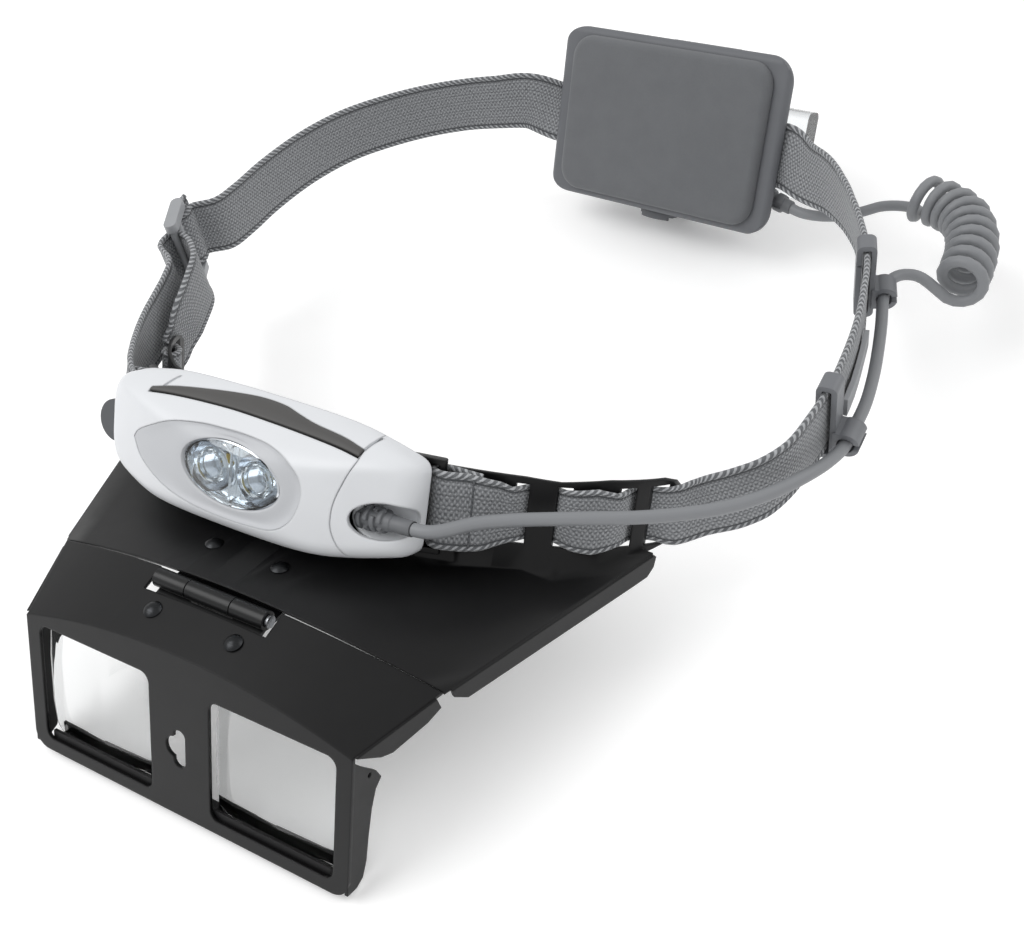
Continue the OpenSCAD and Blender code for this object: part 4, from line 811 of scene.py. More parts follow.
@dataclass
class LampCord(Dresser):
    """The cord from the lamp to the box: front run, curls and rear run, one unbroken piece."""

    thick: float = 3.6
    sides: int = 14
    curls: int = 10
    lag_deg: float = 55.0
    curl_r: float = 6.5
    lead_in: tuple[float, float] = (6.6, 4.1)
    leave: float = 20.0
    arrive: float = 16.0
    point_gap: float = 2.0
    held: int = 2
    eased_past: int = 5
    ease_passes: int = 60
    ease_limit: float = 0.98
    exit_at: Point = (40.507, -116.994, 15.699)
    front: tuple[Point, ...] = (
        (41.3035, -117.012, 15.7801), (45.0831, -117.101, 16.163), (52.4, -108.6, 13.9), (60, -102.6, 12.2),
        (69, -97, 10.6), (78, -91.4, 8.8), (87, -85.6, 6.8), (98, -77.2, 4.4), (106.4, -69.6, 3),
        (113, -61.4, 2), (118, -52, 0.4), (121, -41, -3.2), (122.15, -32, -5.8), (122.15, -28, -6),
        (122.2, -24, -6.1), (122, -14, -6.4), (120.4, -2, -6.6), (118.2, 9, -6.5), (115.6, 20, -6.2),
        (113, 29.4, -6), (111.7, 34.8, -6), (110.6, 39.6, -6.2), (110.6, 43.6, -6.3), (112, 47.2, -6.2),
        (115, 49.2, -5.8))
    axis: tuple[Point, ...] = (
        (131.2, 46.8, -8), (130.8, 56, -8), (129.8, 65.2, -8.2), (127.2, 74.4, -8.6), (122.6, 82.8, -9.2),
        (115, 88.4, -9.8), (106, 91, -10.2))
    rear: tuple[Point, ...] = (
        (91.6, 92, -17.8), (87, 88.2, -18.2), (82, 85.2, -18.6),
        (76.4, 83.2, -18.8), (68.2737, 82.4541, -18.5101), (62.49, 83.78, -17.64))

    def curl_line(self) -> list[Vector]:
        """Points of the curls, sixteen to a turn."""
        line = spline([Vector(p) for p in self.axis], 0.6)
        count = self.curls * 16

        def along(k: float) -> Vector:
            f = min(max(k, 0.0), count) / count * (len(line) - 1)
            i = min(int(f), len(line) - 2)
            return line[i].lerp(line[i + 1], f - i)

        out = []
        for k in range(count + 1):
            head = (along(k + 2) - along(k - 2)).normalized()
            side = head.cross(Vector((0, 0, 1))).normalized()
            a = math.radians(-90 - self.lag_deg * (1 - k / count) + 360 * k / 16)
            out.append(along(k) + (side * math.cos(a) + Vector((0, 0, 1)) * math.sin(a)) * self.curl_r)
        return out

    def route(self) -> list[Vector]:
        """The cord's whole centre line in millimetres."""
        curls = self.curl_line()
        first = (curls[0] - curls[1]).normalized()
        last = (curls[-2] - curls[-1]).normalized()
        leads = [curls[0] + first * gap for gap in self.lead_in]
        front = spline([Vector(p) for p in self.front] + leads, self.point_gap)
        home = [Vector(p) for p in self.rear]
        onward = (home[1] - home[0]).normalized() * self.arrive
        rear = self.bridge(curls[-1], last * -self.leave, home[0], onward) + spline(home, self.point_gap)
        line = [Vector(self.exit_at)] + front + curls + rear
        return self.eased(line, set(range(self.held, len(front) + self.eased_past)))

    @staticmethod
    def bridge(start: Vector, ahead: Vector, end: Vector, onward: Vector) -> list[Vector]:
        """Points between two places of the cord, leaving along ahead and arriving along onward."""
        steps = 14
        out = []
        for t in (i / steps for i in range(1, steps)):
            out.append(start * (2 * t ** 3 - 3 * t ** 2 + 1) + ahead * (t ** 3 - 2 * t ** 2 + t)
                       + end * (3 * t ** 2 - 2 * t ** 3) + onward * (t ** 3 - t ** 2))
        return out

    def eased(self, line: list[Vector], free: set[int]) -> list[Vector]:
        """Open the bends that are tighter than the curls, as a soft cord does by itself.

        Args:
            line: Centre line in millimetres.
            free: Places of the points that may move.

        Returns:
            The line, with the points near each tight bend drawn towards their neighbours.
        """
        for _ in range(self.ease_passes):
            tight: set[int] = set()
            for i in free:
                back, ahead = line[i] - line[i - 1], line[i + 1] - line[i]
                if back.angle(ahead) * self.curl_r * self.ease_limit > (back.length + ahead.length) / 2:
                    tight.update(free & set(range(i - 2, i + 3)))
            line = [p.lerp((line[i - 1] + line[i + 1]) / 2, 0.5) if i in tight else p
                    for i, p in enumerate(line)]
        return line

    def tube(self, name: str, line: Sequence[Vector]) -> bpy.types.Object:
        """Sweep the round jacket along a line, with its UV in millimetres."""
        verts, faces, uvs = [], [], []
        side = Vector((0, 0, 1))
        run = running(line)
        for i, p in enumerate(line):
            ahead = (line[min(i + 1, len(line) - 1)] - line[max(i - 1, 0)]).normalized()
            side = (side - ahead * side.dot(ahead)).normalized()
            over = ahead.cross(side)
            for k in range(self.sides):
                a = 2 * math.pi * k / self.sides
                verts.append((p + (side * math.cos(a) + over * math.sin(a)) * self.thick / 2) * MM)
        for i in range(len(line) - 1):
            for k in range(self.sides):
                j = (k + 1) % self.sides
                faces.append((i * self.sides + k, i * self.sides + j, (i + 1) * self.sides + j,
                              (i + 1) * self.sides + k))
                uvs.append(((run[i], k), (run[i], k + 1), (run[i + 1], k + 1), (run[i + 1], k)))
        faces.append(tuple(reversed(range(self.sides))))
        uvs.append(tuple((0.0, 0.0) for _ in range(self.sides)))
        faces.append(tuple((len(line) - 1) * self.sides + k for k in range(self.sides)))
        uvs.append(tuple((0.0, 0.0) for _ in range(self.sides)))
        obj = link_mesh(name, verts, faces)
        lay_uv(obj, uvs)
        activate(obj)
        bpy.ops.object.shade_smooth_by_angle(angle=math.radians(50))
        return obj

    def build(self) -> bpy.types.Object:
        line = self.route()
        cord = self.tube("lamp_cord", line)
        self.hand_over(cord, "", CORD_GREY, "cord_rubber", ("front_cord", "coil_cord", "rear_cord"))
        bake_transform(cord)
        self.reliefs()
        return cord

    def reliefs(self) -> None:
        """The ribbed sleeves at both ends of the cord."""
        relief = Relief("front_relief", (23.4, -116.594, 13.9661), (37, -116.912, 15.344), 11.0, 17.2)
        self.hand_over(relief.build(), "lamp", STRAIN_GREY, "relief_rubber", ("front_strain_relief",))
        plug = Relief("rear_relief", (44.4164, 87.9413, -14.9316), (64.4164, 83.3413, -17.9316),
                      20.74, 20.74, 3.3)
        self.hand_over(plug.build(), "band", STRAIN_GREY, "relief_rubber", ("rear_plug",))


Station = tuple[float, float, float, float, float, float, float]
# Directions across the webbing: on the plate's wall, on the box, and free
ON_WALL: Point = (0, 0.469, 0.883)
ON_BOX: Point = (0.016, 0.44, 0.898)
UPRIGHT: Point = (0, 0, 1)


@dataclass
class Webbing(Dresser):
    """One length of elastic webbing, swept through its stations.

    A station is a point, the direction across the webbing there, and its width.
    """

    name: str
    node: str
    stations: tuple[Station, ...]
    thick: float = 1.4
    bead: float = 0.95

    def section(self) -> list[tuple[float, float, float]]:
        """Closed outline of the webbing: place across from -1 to 1, proud of the middle, UV across."""
        half = 11.0
        out = []
        across = [-half, -half + 0.3, -half + 0.9, -half + 1.5, -half + 1.9, -half + 2.6, -6, -3, 0]
        rise = [0.0, 0.6, self.bead, 0.62, 0.42, 0.68, 0.7, 0.7, 0.7]
        face = list(zip(across, rise)) + [(-x, r) for x, r in list(zip(across, rise))[-2::-1]]
        out += [(x / half, r, x + half) for x, r in face]
        out += [(x / half, -r, x + half) for x, r in face[-2:0:-1]]
        return out

    def build(self) -> bpy.types.Object:
        """Sweep the webbing and hand it over."""
        pts = spline([Vector(s[:3]) for s in self.stations], 1.6)
        ups = self.follow(pts)
        outline = self.section()
        n = len(outline)
        verts, faces, uvs = [], [], []
        run = running(pts)
        for i, (p, (up, wide)) in enumerate(zip(pts, ups)):
            ahead = (pts[min(i + 1, len(pts) - 1)] - pts[max(i - 1, 0)]).normalized()
            out = ahead.cross(up).normalized()
            over = out.cross(ahead).normalized()
            for x, rise, _ in outline:
                verts.append((p + over * x * wide / 2 + out * rise * self.thick / 1.4) * MM)
        for i in range(len(pts) - 1):
            for k in range(n):
                j = (k + 1) % n
                faces.append((i * n + k, (i + 1) * n + k, (i + 1) * n + j, i * n + j))
                a, b = outline[k][2], outline[j][2]
                uvs.append(((run[i], a), (run[i + 1], a), (run[i + 1], b), (run[i], b)))
        for ring, flip in ((0, False), (len(pts) - 1, True)):
            loop = [ring * n + k for k in range(n)]
            faces.append(tuple(reversed(loop)) if flip else tuple(loop))
            order = reversed(range(n)) if flip else range(n)
            uvs.append(tuple((run[ring], outline[k][2]) for k in order))
        obj = link_mesh(self.name, verts, faces)
        lay_uv(obj, uvs)
        mend(obj)
        bpy.ops.object.shade_smooth_by_angle(angle=math.radians(60))
        return self.hand_over(obj, "band", STRAP_WEAVE, "strap_grey", (self.node,))

    def follow(self, pts: Sequence[Vector]) -> list[tuple[Vector, float]]:
        """Direction across and width at every point, eased between the stations."""
        marks, at = [0.0], 0
        for s in self.stations[1:]:
            target = Vector(s[:3])
            at = min(range(at, len(pts)), key=lambda k: (pts[k] - target).length if k < at + 60 else 1e9)
            marks.append(at)
        out = []
        seg = 0
        for k in range(len(pts)):
            while seg < len(marks) - 2 and k > marks[seg + 1]:
                seg += 1
            span = max(marks[seg + 1] - marks[seg], 1)
            t = min(max((k - marks[seg]) / span, 0), 1)
            a, b = self.stations[seg], self.stations[seg + 1]
            up = Vector(a[3:6]).lerp(Vector(b[3:6]), t).normalized()
            out.append((up, a[6] + (b[6] - a[6]) * t))
        return out


LONG_STATIONS: tuple[Station, ...] = (
    (49.16, -100.92, 9.21, *ON_WALL, 21),
    (45.61, -101.75, 9.65, *ON_WALL, 21.6),
    (42.42, -102.21, 9.89, *ON_WALL, 22),
    (39.1, -102.81, 10.21, *ON_WALL, 22),
    (37.39, -105.34, 11.56, *ON_WALL, 22),
    (40.38, -106.72, 12.29, *ON_WALL, 22),
    (43.65, -105.66, 11.73, *ON_WALL, 22),
    (46.89, -103.88, 10.78, *ON_WALL, 22),
    (50.85, -102.16, 9.86, *ON_WALL, 20.5),
    (53.76, -99.16, 8.27, *ON_WALL, 18),
    (56.16, -97.69, 7.49, *ON_WALL, 15.6),
    (57.49, -95.33, 6.24, *ON_WALL, 15.6),
    (58.83, -92.84, 4.91, *ON_WALL, 15.6),
    (64.01, -90.39, 3.61, *ON_WALL, 15.6),
    (67.12, -90.74, 3.79, *ON_WALL, 15.6),
    (70.42, -90.76, 3.8, *ON_WALL, 17),
    (75.12, -88.12, 2.4, *ON_WALL, 18.6),
    (79.02, -84.06, 0.24, *ON_WALL, 15.6),
    (79.62, -80.96, -1.41, *ON_WALL, 15.6),
    (79.92, -77.82, -3.08, *ON_WALL, 15.6),
    (82.59, -74.64, -4.77, *ON_WALL, 15.6),
    (85.77, -73.27, -5.5, *ON_WALL, 15.6),
    (89.7, -71.28, -6.55, *ON_WALL, 17.4),
    (94.6, -65.2, -7.6, -0.143, 0.099, 0.985, 19.6),
    (103, -60.6, -5.2, -0.075, 0.044, 0.996, 21.4),
    (109, -55.8, -3, -0.031, 0.016, 0.999, 22),
    (113, -48.8, -1.4, *UPRIGHT, 22),
    (115, -38.6, -0.2, *UPRIGHT, 22),
    (115.9, -28, 0, *UPRIGHT, 22),
    (115.4, -14, 0, *UPRIGHT, 22),
    (114, 0, 0, *UPRIGHT, 22),
    (111.8, 12, 0, *UPRIGHT, 22),
    (109, 24, 0, *UPRIGHT, 22),
    (105.3, 35, 0, *UPRIGHT, 22),
    (100.6, 46, 0, -0.063, -0.029, 0.998, 22),
    (94.8, 57, 0, -0.104, -0.063, 0.993, 22),
    (87.6, 67.4, -0.4, -0.055, -0.043, 0.998, 22),
    (78.6, 76.8, -1, 0.037, 0.037, 0.999, 22),
    (69, 82.8, -1.9, 0.144, 0.173, 0.974, 22),
    (60.28, 87.34, -0.44, *ON_BOX, 22),
    (51.35, 88.42, -0.81, *ON_BOX, 22),
    (13.66, 92.95, -2.36, *ON_BOX, 22),
    (-24.04, 97.49, -3.91, *ON_BOX, 22),
    (-33.96, 98.68, -4.32, *ON_BOX, 22),
    (-45.4, 96.6, -0.6, -0.074, 0.157, 0.985, 22),
    (-56, 92, 0, -0.027, 0.045, 0.999, 22),
    (-69, 86.4, 0, *UPRIGHT, 22),
    (-82, 77.8, 0, *UPRIGHT, 22),
    (-93.4, 67, 0, *UPRIGHT, 22),
    (-103.2, 54, 0, *UPRIGHT, 22),
    (-109.8, 37, 0, *UPRIGHT, 22),
    (-112.9, 17, 0, *UPRIGHT, 22),
    (-113.3, 1, 0, *UPRIGHT, 22),
    (-114.4, -9, 0.4, *UPRIGHT, 22),
    (-120.66, -15.39, 0.8, *UPRIGHT, 21.6),
    (-119.14, -18.43, 0.8, *UPRIGHT, 21.6),
    (-120.05, -21.85, 0.8, *UPRIGHT, 21.6),
    (-123.47, -20.93, 0.8, *UPRIGHT, 21.6),
    (-125.58, -17.07, 0.8, *UPRIGHT, 21.6),
    (-127.02, -10.98, 0.8, *UPRIGHT, 21.6),)
LOOP_STATIONS: tuple[Station, ...] = (
    (-73.9, -99.77, 7.2, 0, 0.5, 0.866, 21),
    (-68.5, -99.51, 7.05, 0, 0.5, 0.866, 22),
    (-64.5, -99.51, 7.05, 0, 0.5, 0.866, 22),
    (-62.2, -101.5, 8.2, 0, 0.5, 0.866, 22),
    (-64.5, -103.49, 9.35, 0, 0.5, 0.866, 22),
    (-68.5, -103.41, 9.3, 0, 0.5, 0.866, 22),
    (-72.8, -102.2, 8.6, 0.281, 0.395, 0.875, 22),
    (-78.4, -97.8, 8, 0.274, 0.342, 0.899, 22),
    (-84, -90.4, 6.4, 0.244, 0.263, 0.934, 22),
    (-90, -80.4, 4, 0.168, 0.15, 0.974, 22),
    (-94.8, -70.4, 2.4, 0.098, 0.073, 0.993, 22),
    (-98.6, -60.4, 1.4, 0.045, 0.027, 0.999, 22),
    (-102, -51, 1, *UPRIGHT, 22),
    (-106.4, -43.4, 0.8, *UPRIGHT, 22),
    (-115.46, -37.79, 0.8, *UPRIGHT, 22),
    (-116.86, -32.37, 0.8, *UPRIGHT, 21.6),
    (-115.95, -28.95, 0.8, *UPRIGHT, 21.6),
    (-112.53, -29.87, 0.8, *UPRIGHT, 21.6),
    (-108.32, -31.36, 0.8, *UPRIGHT, 22),
    (-100.6, -37.6, 0.8, *UPRIGHT, 22),
    (-96, -46.4, 0.4, *UPRIGHT, 21),
    (-93, -55, -1, *UPRIGHT, 19.6),
    (-92, -62.4, -4.2, 0.115, 0.078, 0.99, 18),
    (-90.47, -70.69, -6.87, *ON_WALL, 17),
    (-85.77, -73.27, -5.5, *ON_WALL, 15.6),
    (-82.31, -74.85, -4.66, *ON_WALL, 15.6),
    (-79.63, -78.15, -2.9, *ON_WALL, 15.6),
    (-79.77, -81.07, -1.35, *ON_WALL, 15.6),
    (-82.5, -80.5, -1.65, *ON_WALL, 15.6),
    (-85.16, -77.28, -3.36, *ON_WALL, 15.6),)


@dataclass
class StrapWork(Dresser):
    """Both straps, the buckle, the cord clips, the strip under the clips and one sewn seam."""

    thread_mm: float = 0.34
    seam: tuple[Point, Point] = ((46.9, -103.9, 10.8), (50.85, -102.16, 9.86))
    seam_count: int = 12
    seam_pitch: float = 1.6
    seam_proud: float = 0.78

    def clips(self) -> None:
        """Clips, buckle and strip keep their moulded shape."""
        self.keep(["front_cord_clip", "rear_cord_clip"], CLIP_GREY)
        self.keep(["slide_buckle"], BUCKLE_GREY)
        self.keep(["guide_strip"], STRIP_GREY)

    def stitches(self, name: str, centre: Vector, across: Vector, out: Vector, count: int,
                 pitch: float) -> bpy.types.Object:
        """Sew one straight row of stitches across the webbing.

        Args:
            name: Name of the row.
            centre: Middle of the row on the face of the webbing, in millimetres.
            across: Direction of the row.
            out: Direction out of the face.
            count: Number of stitches.
            pitch: Distance between stitches in millimetres.

        Returns:
            The row.
        """
        deselect()
        bpy.ops.mesh.primitive_uv_sphere_add(segments=8, ring_count=6, radius=self.thread_mm * MM)
        one = bpy.context.object
        one.name = name
        along = across.normalized()
        up = (out - along * out.dot(along)).normalized()
        side = along.cross(up)
        turn = Matrix((along, side, up)).transposed()
        base = one.data.copy()
        verts, faces = [], []
        for i in range(count):
            at = centre + along * (i - (count - 1) / 2) * pitch
            start = len(verts)
            for v in base.vertices:
                local = Vector((v.co.x * 2.6, v.co.y, v.co.z * 0.7)) / MM
                verts.append((at + turn @ local) * MM)
            faces += [tuple(start + k for k in p.vertices) for p in base.polygons]
        mesh = bpy.data.meshes.new(name)
        mesh.from_pydata([tuple(v) for v in verts], [], faces)
        one.data = mesh
        activate(one)
        bpy.ops.object.shade_smooth()
        return self.hand_over(one, "band", STRAP_THREAD, "strap_grey")

    def build(self) -> None:
        """Dress the whole strap work."""
        Webbing("long_webbing", "strap_long", LONG_STATIONS).build()
        Webbing("loop_webbing", "strap_loop", LOOP_STATIONS).build()
        self.clips()
        wall_up = Vector((0, 0.469472, 0.882948))
        first, last = (Vector(end) for end in self.seam)
        out = (last - first).normalized().cross(wall_up).normalized()
        mid = first.lerp(last, 0.35) + out * self.seam_proud
        self.stitches("front_seam", mid, wall_up, out, self.seam_count, self.seam_pitch)


@dataclass
class VisorWork(Dresser):
    """Forehead plate, hinge, drop-down lens frame, its rail and lenses."""

    def build(self) -> None:
        """Dress the plates, hinge and lenses."""
        plate = self.smooth_copy("rear_plate", "forehead_plate", 24, 1.0)
        self.hand_over(plate, "band", VISOR_BLACK, "visor_black", ("rear_plate",))
        front = self.smooth_copy("lens_visor", "drop_down_visor", 24, 1.0)
        self.hand_over(front, "visor", VISOR_BLACK, "visor_black", ("lens_visor",))
        self.keep(["lens_rail"], RAIL_BLACK)
        self.keep(["rear_hinge_leaf", "front_hinge_leaf"], HINGE_BLACK)
        self.keep(["rear_rivets", "front_rivets"], RIVET_BLACK)
        self.keep(["hinge_pin"], PIN_STEEL)
        for side in ("left", "right"):
            lens = self.smooth_copy(f"{side}_lens", f"{side}_magnifying_lens", 30)
            self.hand_over(lens, "visor", LENS_CLEAR, "lens_clear", (f"{side}_lens",))


@dataclass(frozen=True)
class LampForm:
    """The lamp's outside: a leaf seen from the front, a bow seen from above, with soft creases.

    No primitive has this blown-up leaf, so its surface is found along rays from a spine, and
    only then split, cut and thickened with modifiers. Millimetres of the lamp's frame.
    """

    length: float = 104.0
    top: float = 21.0
    low: float = -17.5
    leaf_r: float = 200.0
    face: float = -24.0
    ends: float = -13.0
    back: float = -5.6
    spine_z: float = 1.75
    spine_x: float = 40.0
    belly: tuple[tuple[float, float], ...] = ((-5.0, -14.9), (-16.0, -17.5), (-21.0, -16.5), (-24.0, -12.0))
    brow: tuple[tuple[float, float], ...] = (
        (-24.0, 8.0), (-21.0, 11.8), (-13.0, 17.0), (-8.0, 20.1), (-4.0, 21.0))

    @staticmethod
    def soft_max(a: np.ndarray, b: np.ndarray, width: float) -> np.ndarray:
        """Larger of two fields, with a crease softened over a width."""
        near = np.maximum(width - np.abs(a - b), 0.0) / width
        return np.maximum(a, b) + near * near * width / 4

    def field(self, at: np.ndarray) -> np.ndarray:
        """Distance field of the lamp, below 0 inside.

        Args:
            at: Points, with x, y and z in the last axis.

        Returns:
            One value for each point.
        """
        x, y, z = at[..., 0], at[..., 1], at[..., 2]
        out = self.soft_max(np.hypot(x, z - self.top + self.leaf_r) - self.leaf_r,
                            np.hypot(x, z - self.low - self.leaf_r) - self.leaf_r, 4.0)
        middle, half = (self.top + self.low) / 2, (self.top - self.low) / 2
        corner = np.where(x < 0, 16.0, 8.0)
        past_x = np.maximum(np.abs(x) - (self.length / 2 - corner), 0)
        past_z = np.maximum(np.abs(z - middle) - (half - corner), 0)
        out = self.soft_max(out, np.hypot(past_x, past_z) - corner, 3.0)
        rise = self.ends - self.face
        bow_r = (self.length ** 2 / 4 + rise ** 2) / (2 * rise)
        out = self.soft_max(out, np.hypot(x, y - bow_r - self.face) - bow_r, 5.0)
        for run in (self.belly, self.brow):
            for (y0, z0), (y1, z1) in zip(run, run[1:]):
                size = math.hypot(y1 - y0, z1 - z0)
                ny, nz = (z1 - z0) / size, (y0 - y1) / size
                turn = -1.0 if (-10 - y0) * ny - z0 * nz > 0 else 1.0
                out = self.soft_max(out, turn * ((y - y0) * ny + (z - z0) * nz), 3.0)
        return out

    def reach(self, start: np.ndarray, heading: np.ndarray) -> np.ndarray:
        """Distance along rays at which they leave the lamp."""
        low, high = np.zeros(start.shape[:-1]), np.full(start.shape[:-1], 70.0)
        for _ in range(34):
            mid = (low + high) / 2
            inside = self.field(start + heading * mid[..., None]) < 0
            low, high = np.where(inside, mid, low), np.where(inside, high, mid)
        return low

    def around(self, x: np.ndarray, swing: np.ndarray, lean: np.ndarray, proud: float = 0.0) -> np.ndarray:
        """Points of the surface.

        Args:
            x: Place along the spine.
            swing: Angle from straight up, over the front, in degrees.
            lean: Angle towards an end of the lamp, in degrees.
            proud: Height over the surface.

        Returns:
            Points, with x, y and z in the last axis.
        """
        s, n = np.radians(swing), np.radians(lean)
        heading = np.stack([np.sin(n), -np.cos(n) * np.sin(s), np.cos(n) * np.cos(s)], -1)
        start = np.stack([x, np.full_like(x, self.back), np.full_like(x, self.spine_z)], -1)
        return start + heading * (self.reach(start, heading) + proud)[..., None]

    def front(self, x: np.ndarray, z: np.ndarray) -> np.ndarray:
        """How far forward the surface is at each x and z."""
        start = np.stack([x, np.full_like(x, self.back), z], -1)
        return self.back - self.reach(start, np.broadcast_to(np.array([0.0, -1.0, 0.0]), start.shape))


class Cut(Enum):
    """What a boolean modifier does with its tool."""

    REMOVE = "DIFFERENCE"
    KEEP = "INTERSECT"


@dataclass
class LampWork(Dresser):
    """White leaf-shaped lamp: shell, end cap, switch strip, dished bezel, optics and its bracket.

    Outlines are points (x, z) seen from the front; the strip's are (x, swing) over the brow.
    """

    form: LampForm = LampForm()
    wall: float = 1.3
    lens_at: tuple[float, float] = (0.6, 0.2)
    lens_half: tuple[float, float] = (16.0, 8.4)
    lens_turn: float = -2.0
    cup_x: float = 7.6
    cup_r: float = 7.0
    dish: tuple[tuple[float, float], ...] = (
        (-36.5, 0.4), (-34.6, 2.6), (-27.6, 6.4), (-21.0, 9.2), (-11.5, 10.8), (-3.8, 11.2), (4.1, 11.3),
        (12.4, 10.7), (18.9, 8.8), (22.6, 5.8), (23.9, 1.6), (23.0, -3.4), (20.8, -7.4), (16.6, -10.4),
        (6.6, -11.6), (-4.8, -11.6), (-14.8, -10.6), (-25.2, -8.0), (-33.2, -3.9))
    seam: tuple[tuple[float, float], ...] = (
        (38.4, 24.0), (37.4, 17.6), (36.9, 14.7), (37.0, 12.7), (35.1, 7.8), (33.0, 1.9), (32.4, -2.0),
        (32.7, -6.2), (35.4, -11.1), (40.0, -15.4), (46.0, -20.0))
    strip_low: tuple[tuple[float, float], ...] = (
        (-34.0, 41.2), (-25.7, 36.9), (-17.3, 34.2), (-5.6, 32.2), (6.6, 32.9), (16.8, 34.4), (30.2, 37.7),
        (36.6, 40.8))
    strip_high: tuple[tuple[float, float], ...] = (
        (-34.0, 36.6), (-27.7, 28.3), (-20.3, 21.5), (-8.3, 12.6), (-0.5, 9.2), (6.6, 10.3), (13.0, 16.2),
        (19.0, 21.2), (29.4, 26.0), (36.6, 32.4))
    grooves: tuple[tuple[float, float, float, float], ...] = (
        (-31.0, 33.0, -29.5, 12.0), (36.8, 33.0, 38.0, 8.0))
    seam_gap: float = 0.12
    strip_gap: float = 0.22
    press_room: float = 3.2
    well_at: Point = (45.0, -14.2, -1.4)
    well_half: Point = (9.4, 5.6, 5.2)
    well_turn: tuple[float, float] = (-8.0, 30.0)
    well_front: float = -15.2

    # ------------------------------------------------ shapes
    def sheet(self, name: str, grid: np.ndarray, closed: bool = False) -> bpy.types.Object:
        """Mesh a grid of points in millimetres as quads.

        Args:
            name: Name of the mesh.
            grid: Points by row and column.
            closed: Whether each row's last point joins its first.

        Returns:
            The mesh, its doubles merged.
        """
        rows, cols = grid.shape[:2]
        wrap = cols if closed else cols - 1
        faces = [(i * cols + j, i * cols + (j + 1) % cols,
                  (i + 1) * cols + (j + 1) % cols, (i + 1) * cols + j)
                 for i in range(rows - 1) for j in range(wrap)]
        obj = link_mesh(name, grid.reshape(-1, 3).tolist(), faces)
        mend(obj, merge=1e-3, outward=False)
        return obj

    def face_front(self, obj: bpy.types.Object) -> None:
        """Turn an open sheet's normals away from the spine."""
        mid = Vector((0, self.form.back + 2, self.form.spine_z))
        score = sum((p.center - mid).dot(p.normal) * p.area for p in obj.data.polygons)
        if score < 0:
            obj.data.flip_normals()

    def apply(self, obj: bpy.types.Object, kind: str, **settings: object) -> None:
        """Add one modifier with its settings and apply it."""
        activate(obj)
        mod = obj.modifiers.new(kind.lower(), kind)
        for key, value in settings.items():
            setattr(mod, key, value)
        bpy.ops.object.modifier_apply(modifier=mod.name)

    def cut(self, obj: bpy.types.Object, tools: Sequence[bpy.types.Object], how: Cut) -> None:
        """Cut obj by each closed tool, then throw the tools away."""
        for tool in tools:
            self.apply(obj, "BOOLEAN", operation=how.value, solver="MANIFOLD", object=tool)
            bpy.data.objects.remove(tool)

    def prism(self, name: str, outline: Sequence[tuple[float, float]], near: float,
              far: float) -> bpy.types.Object:
        """Extrude an outline of (x, z) from y = far to y = near."""
        obj = link_mesh(name, [(x, far, z) for x, z in outline], [tuple(range(len(outline)))])
        activate(obj)
        bpy.ops.object.mode_set(mode="EDIT")
        bpy.ops.mesh.select_all(action="SELECT")
        bpy.ops.mesh.extrude_region_move(TRANSFORM_OT_translate={"value": (0, near - far, 0)})
        bpy.ops.mesh.select_all(action="SELECT")
        bpy.ops.mesh.normals_make_consistent(inside=False)
        bpy.ops.object.mode_set(mode="OBJECT")
        return obj

    def closed_slab(self, name: str, outer: np.ndarray, inner: np.ndarray) -> bpy.types.Object:
        """Solid between two grids of the same rows and columns."""
        rows, cols = outer.shape[:2]
        n = rows * cols
        verts = np.concatenate([outer.reshape(-1, 3), inner.reshape(-1, 3)]).tolist()
        faces = []
        for i in range(rows - 1):
            for j in range(cols - 1):
                a, b, c, d = i * cols + j, i * cols + j + 1, (i + 1) * cols + j + 1, (i + 1) * cols + j
                faces += [(a, b, c, d), (n + d, n + c, n + b, n + a)]
        rim = ([(0, j) for j in range(cols)] + [(i, cols - 1) for i in range(1, rows)]
               + [(rows - 1, j) for j in range(cols - 2, -1, -1)] + [(i, 0) for i in range(rows - 2, 0, -1)])
        for (i, j), (k, m) in zip(rim, rim[1:] + rim[:1]):
            faces.append((k * cols + m, i * cols + j, n + i * cols + j, n + k * cols + m))
        obj = link_mesh(name, verts, faces)
        mend(obj)
        return obj

    def finish(self, obj: bpy.types.Object, finish: Finish, body: str, slot: str,
               replaces: Sequence[str] = (), limit_deg: float = 35.0) -> None:
        """Smooth a piece, put it in its place and hand it over."""
        activate(obj)
        bpy.ops.object.shade_smooth_by_angle(angle=math.radians(limit_deg))
        LAMP_PLACE.seat(obj)
        self.hand_over(obj, body, finish, slot, replaces)

    # ------------------------------------------------ shell, cap and strip
    def leaf_skin(self, name: str) -> bpy.types.Object:
        """The whole outside as one wall, open at the back."""
        tip = np.linspace(-90, 0, 30)
        mid = np.linspace(-self.form.spine_x, self.form.spine_x, 110)
        x = np.concatenate([np.full(29, -self.form.spine_x), mid, np.full(29, self.form.spine_x)])
        lean = np.concatenate([tip[:-1], np.zeros(110), -tip[:-1][::-1]])
        swing = np.linspace(0, 180, 92)
        grid_x, grid_s = np.meshgrid(x, swing, indexing="ij")
        grid_l = np.meshgrid(lean, swing, indexing="ij")[0]
        skin = self.sheet(name, self.form.around(grid_x, grid_s, grid_l))
        self.face_front(skin)
        self.apply(skin, "SOLIDIFY", thickness=self.wall, offset=-1.0)
        return skin

    def strip_patch(self, name: str, grow: float, proud: float, deep: float) -> bpy.types.Object:
        """Solid over the brow between the strip's two edges.

        Args:
            name: Name of the solid.
            grow: Millimetres by which it is wider all round.
            proud: Height of its outside over the shell.
            deep: Depth of its inside under the shell.

        Returns:
            The closed solid.
        """
        low, high = np.array(self.strip_low), np.array(self.strip_high)
        x = np.linspace(low[0, 0] - grow, low[-1, 0] + grow, 121)
        ease = np.linspace(0, 1, 9)

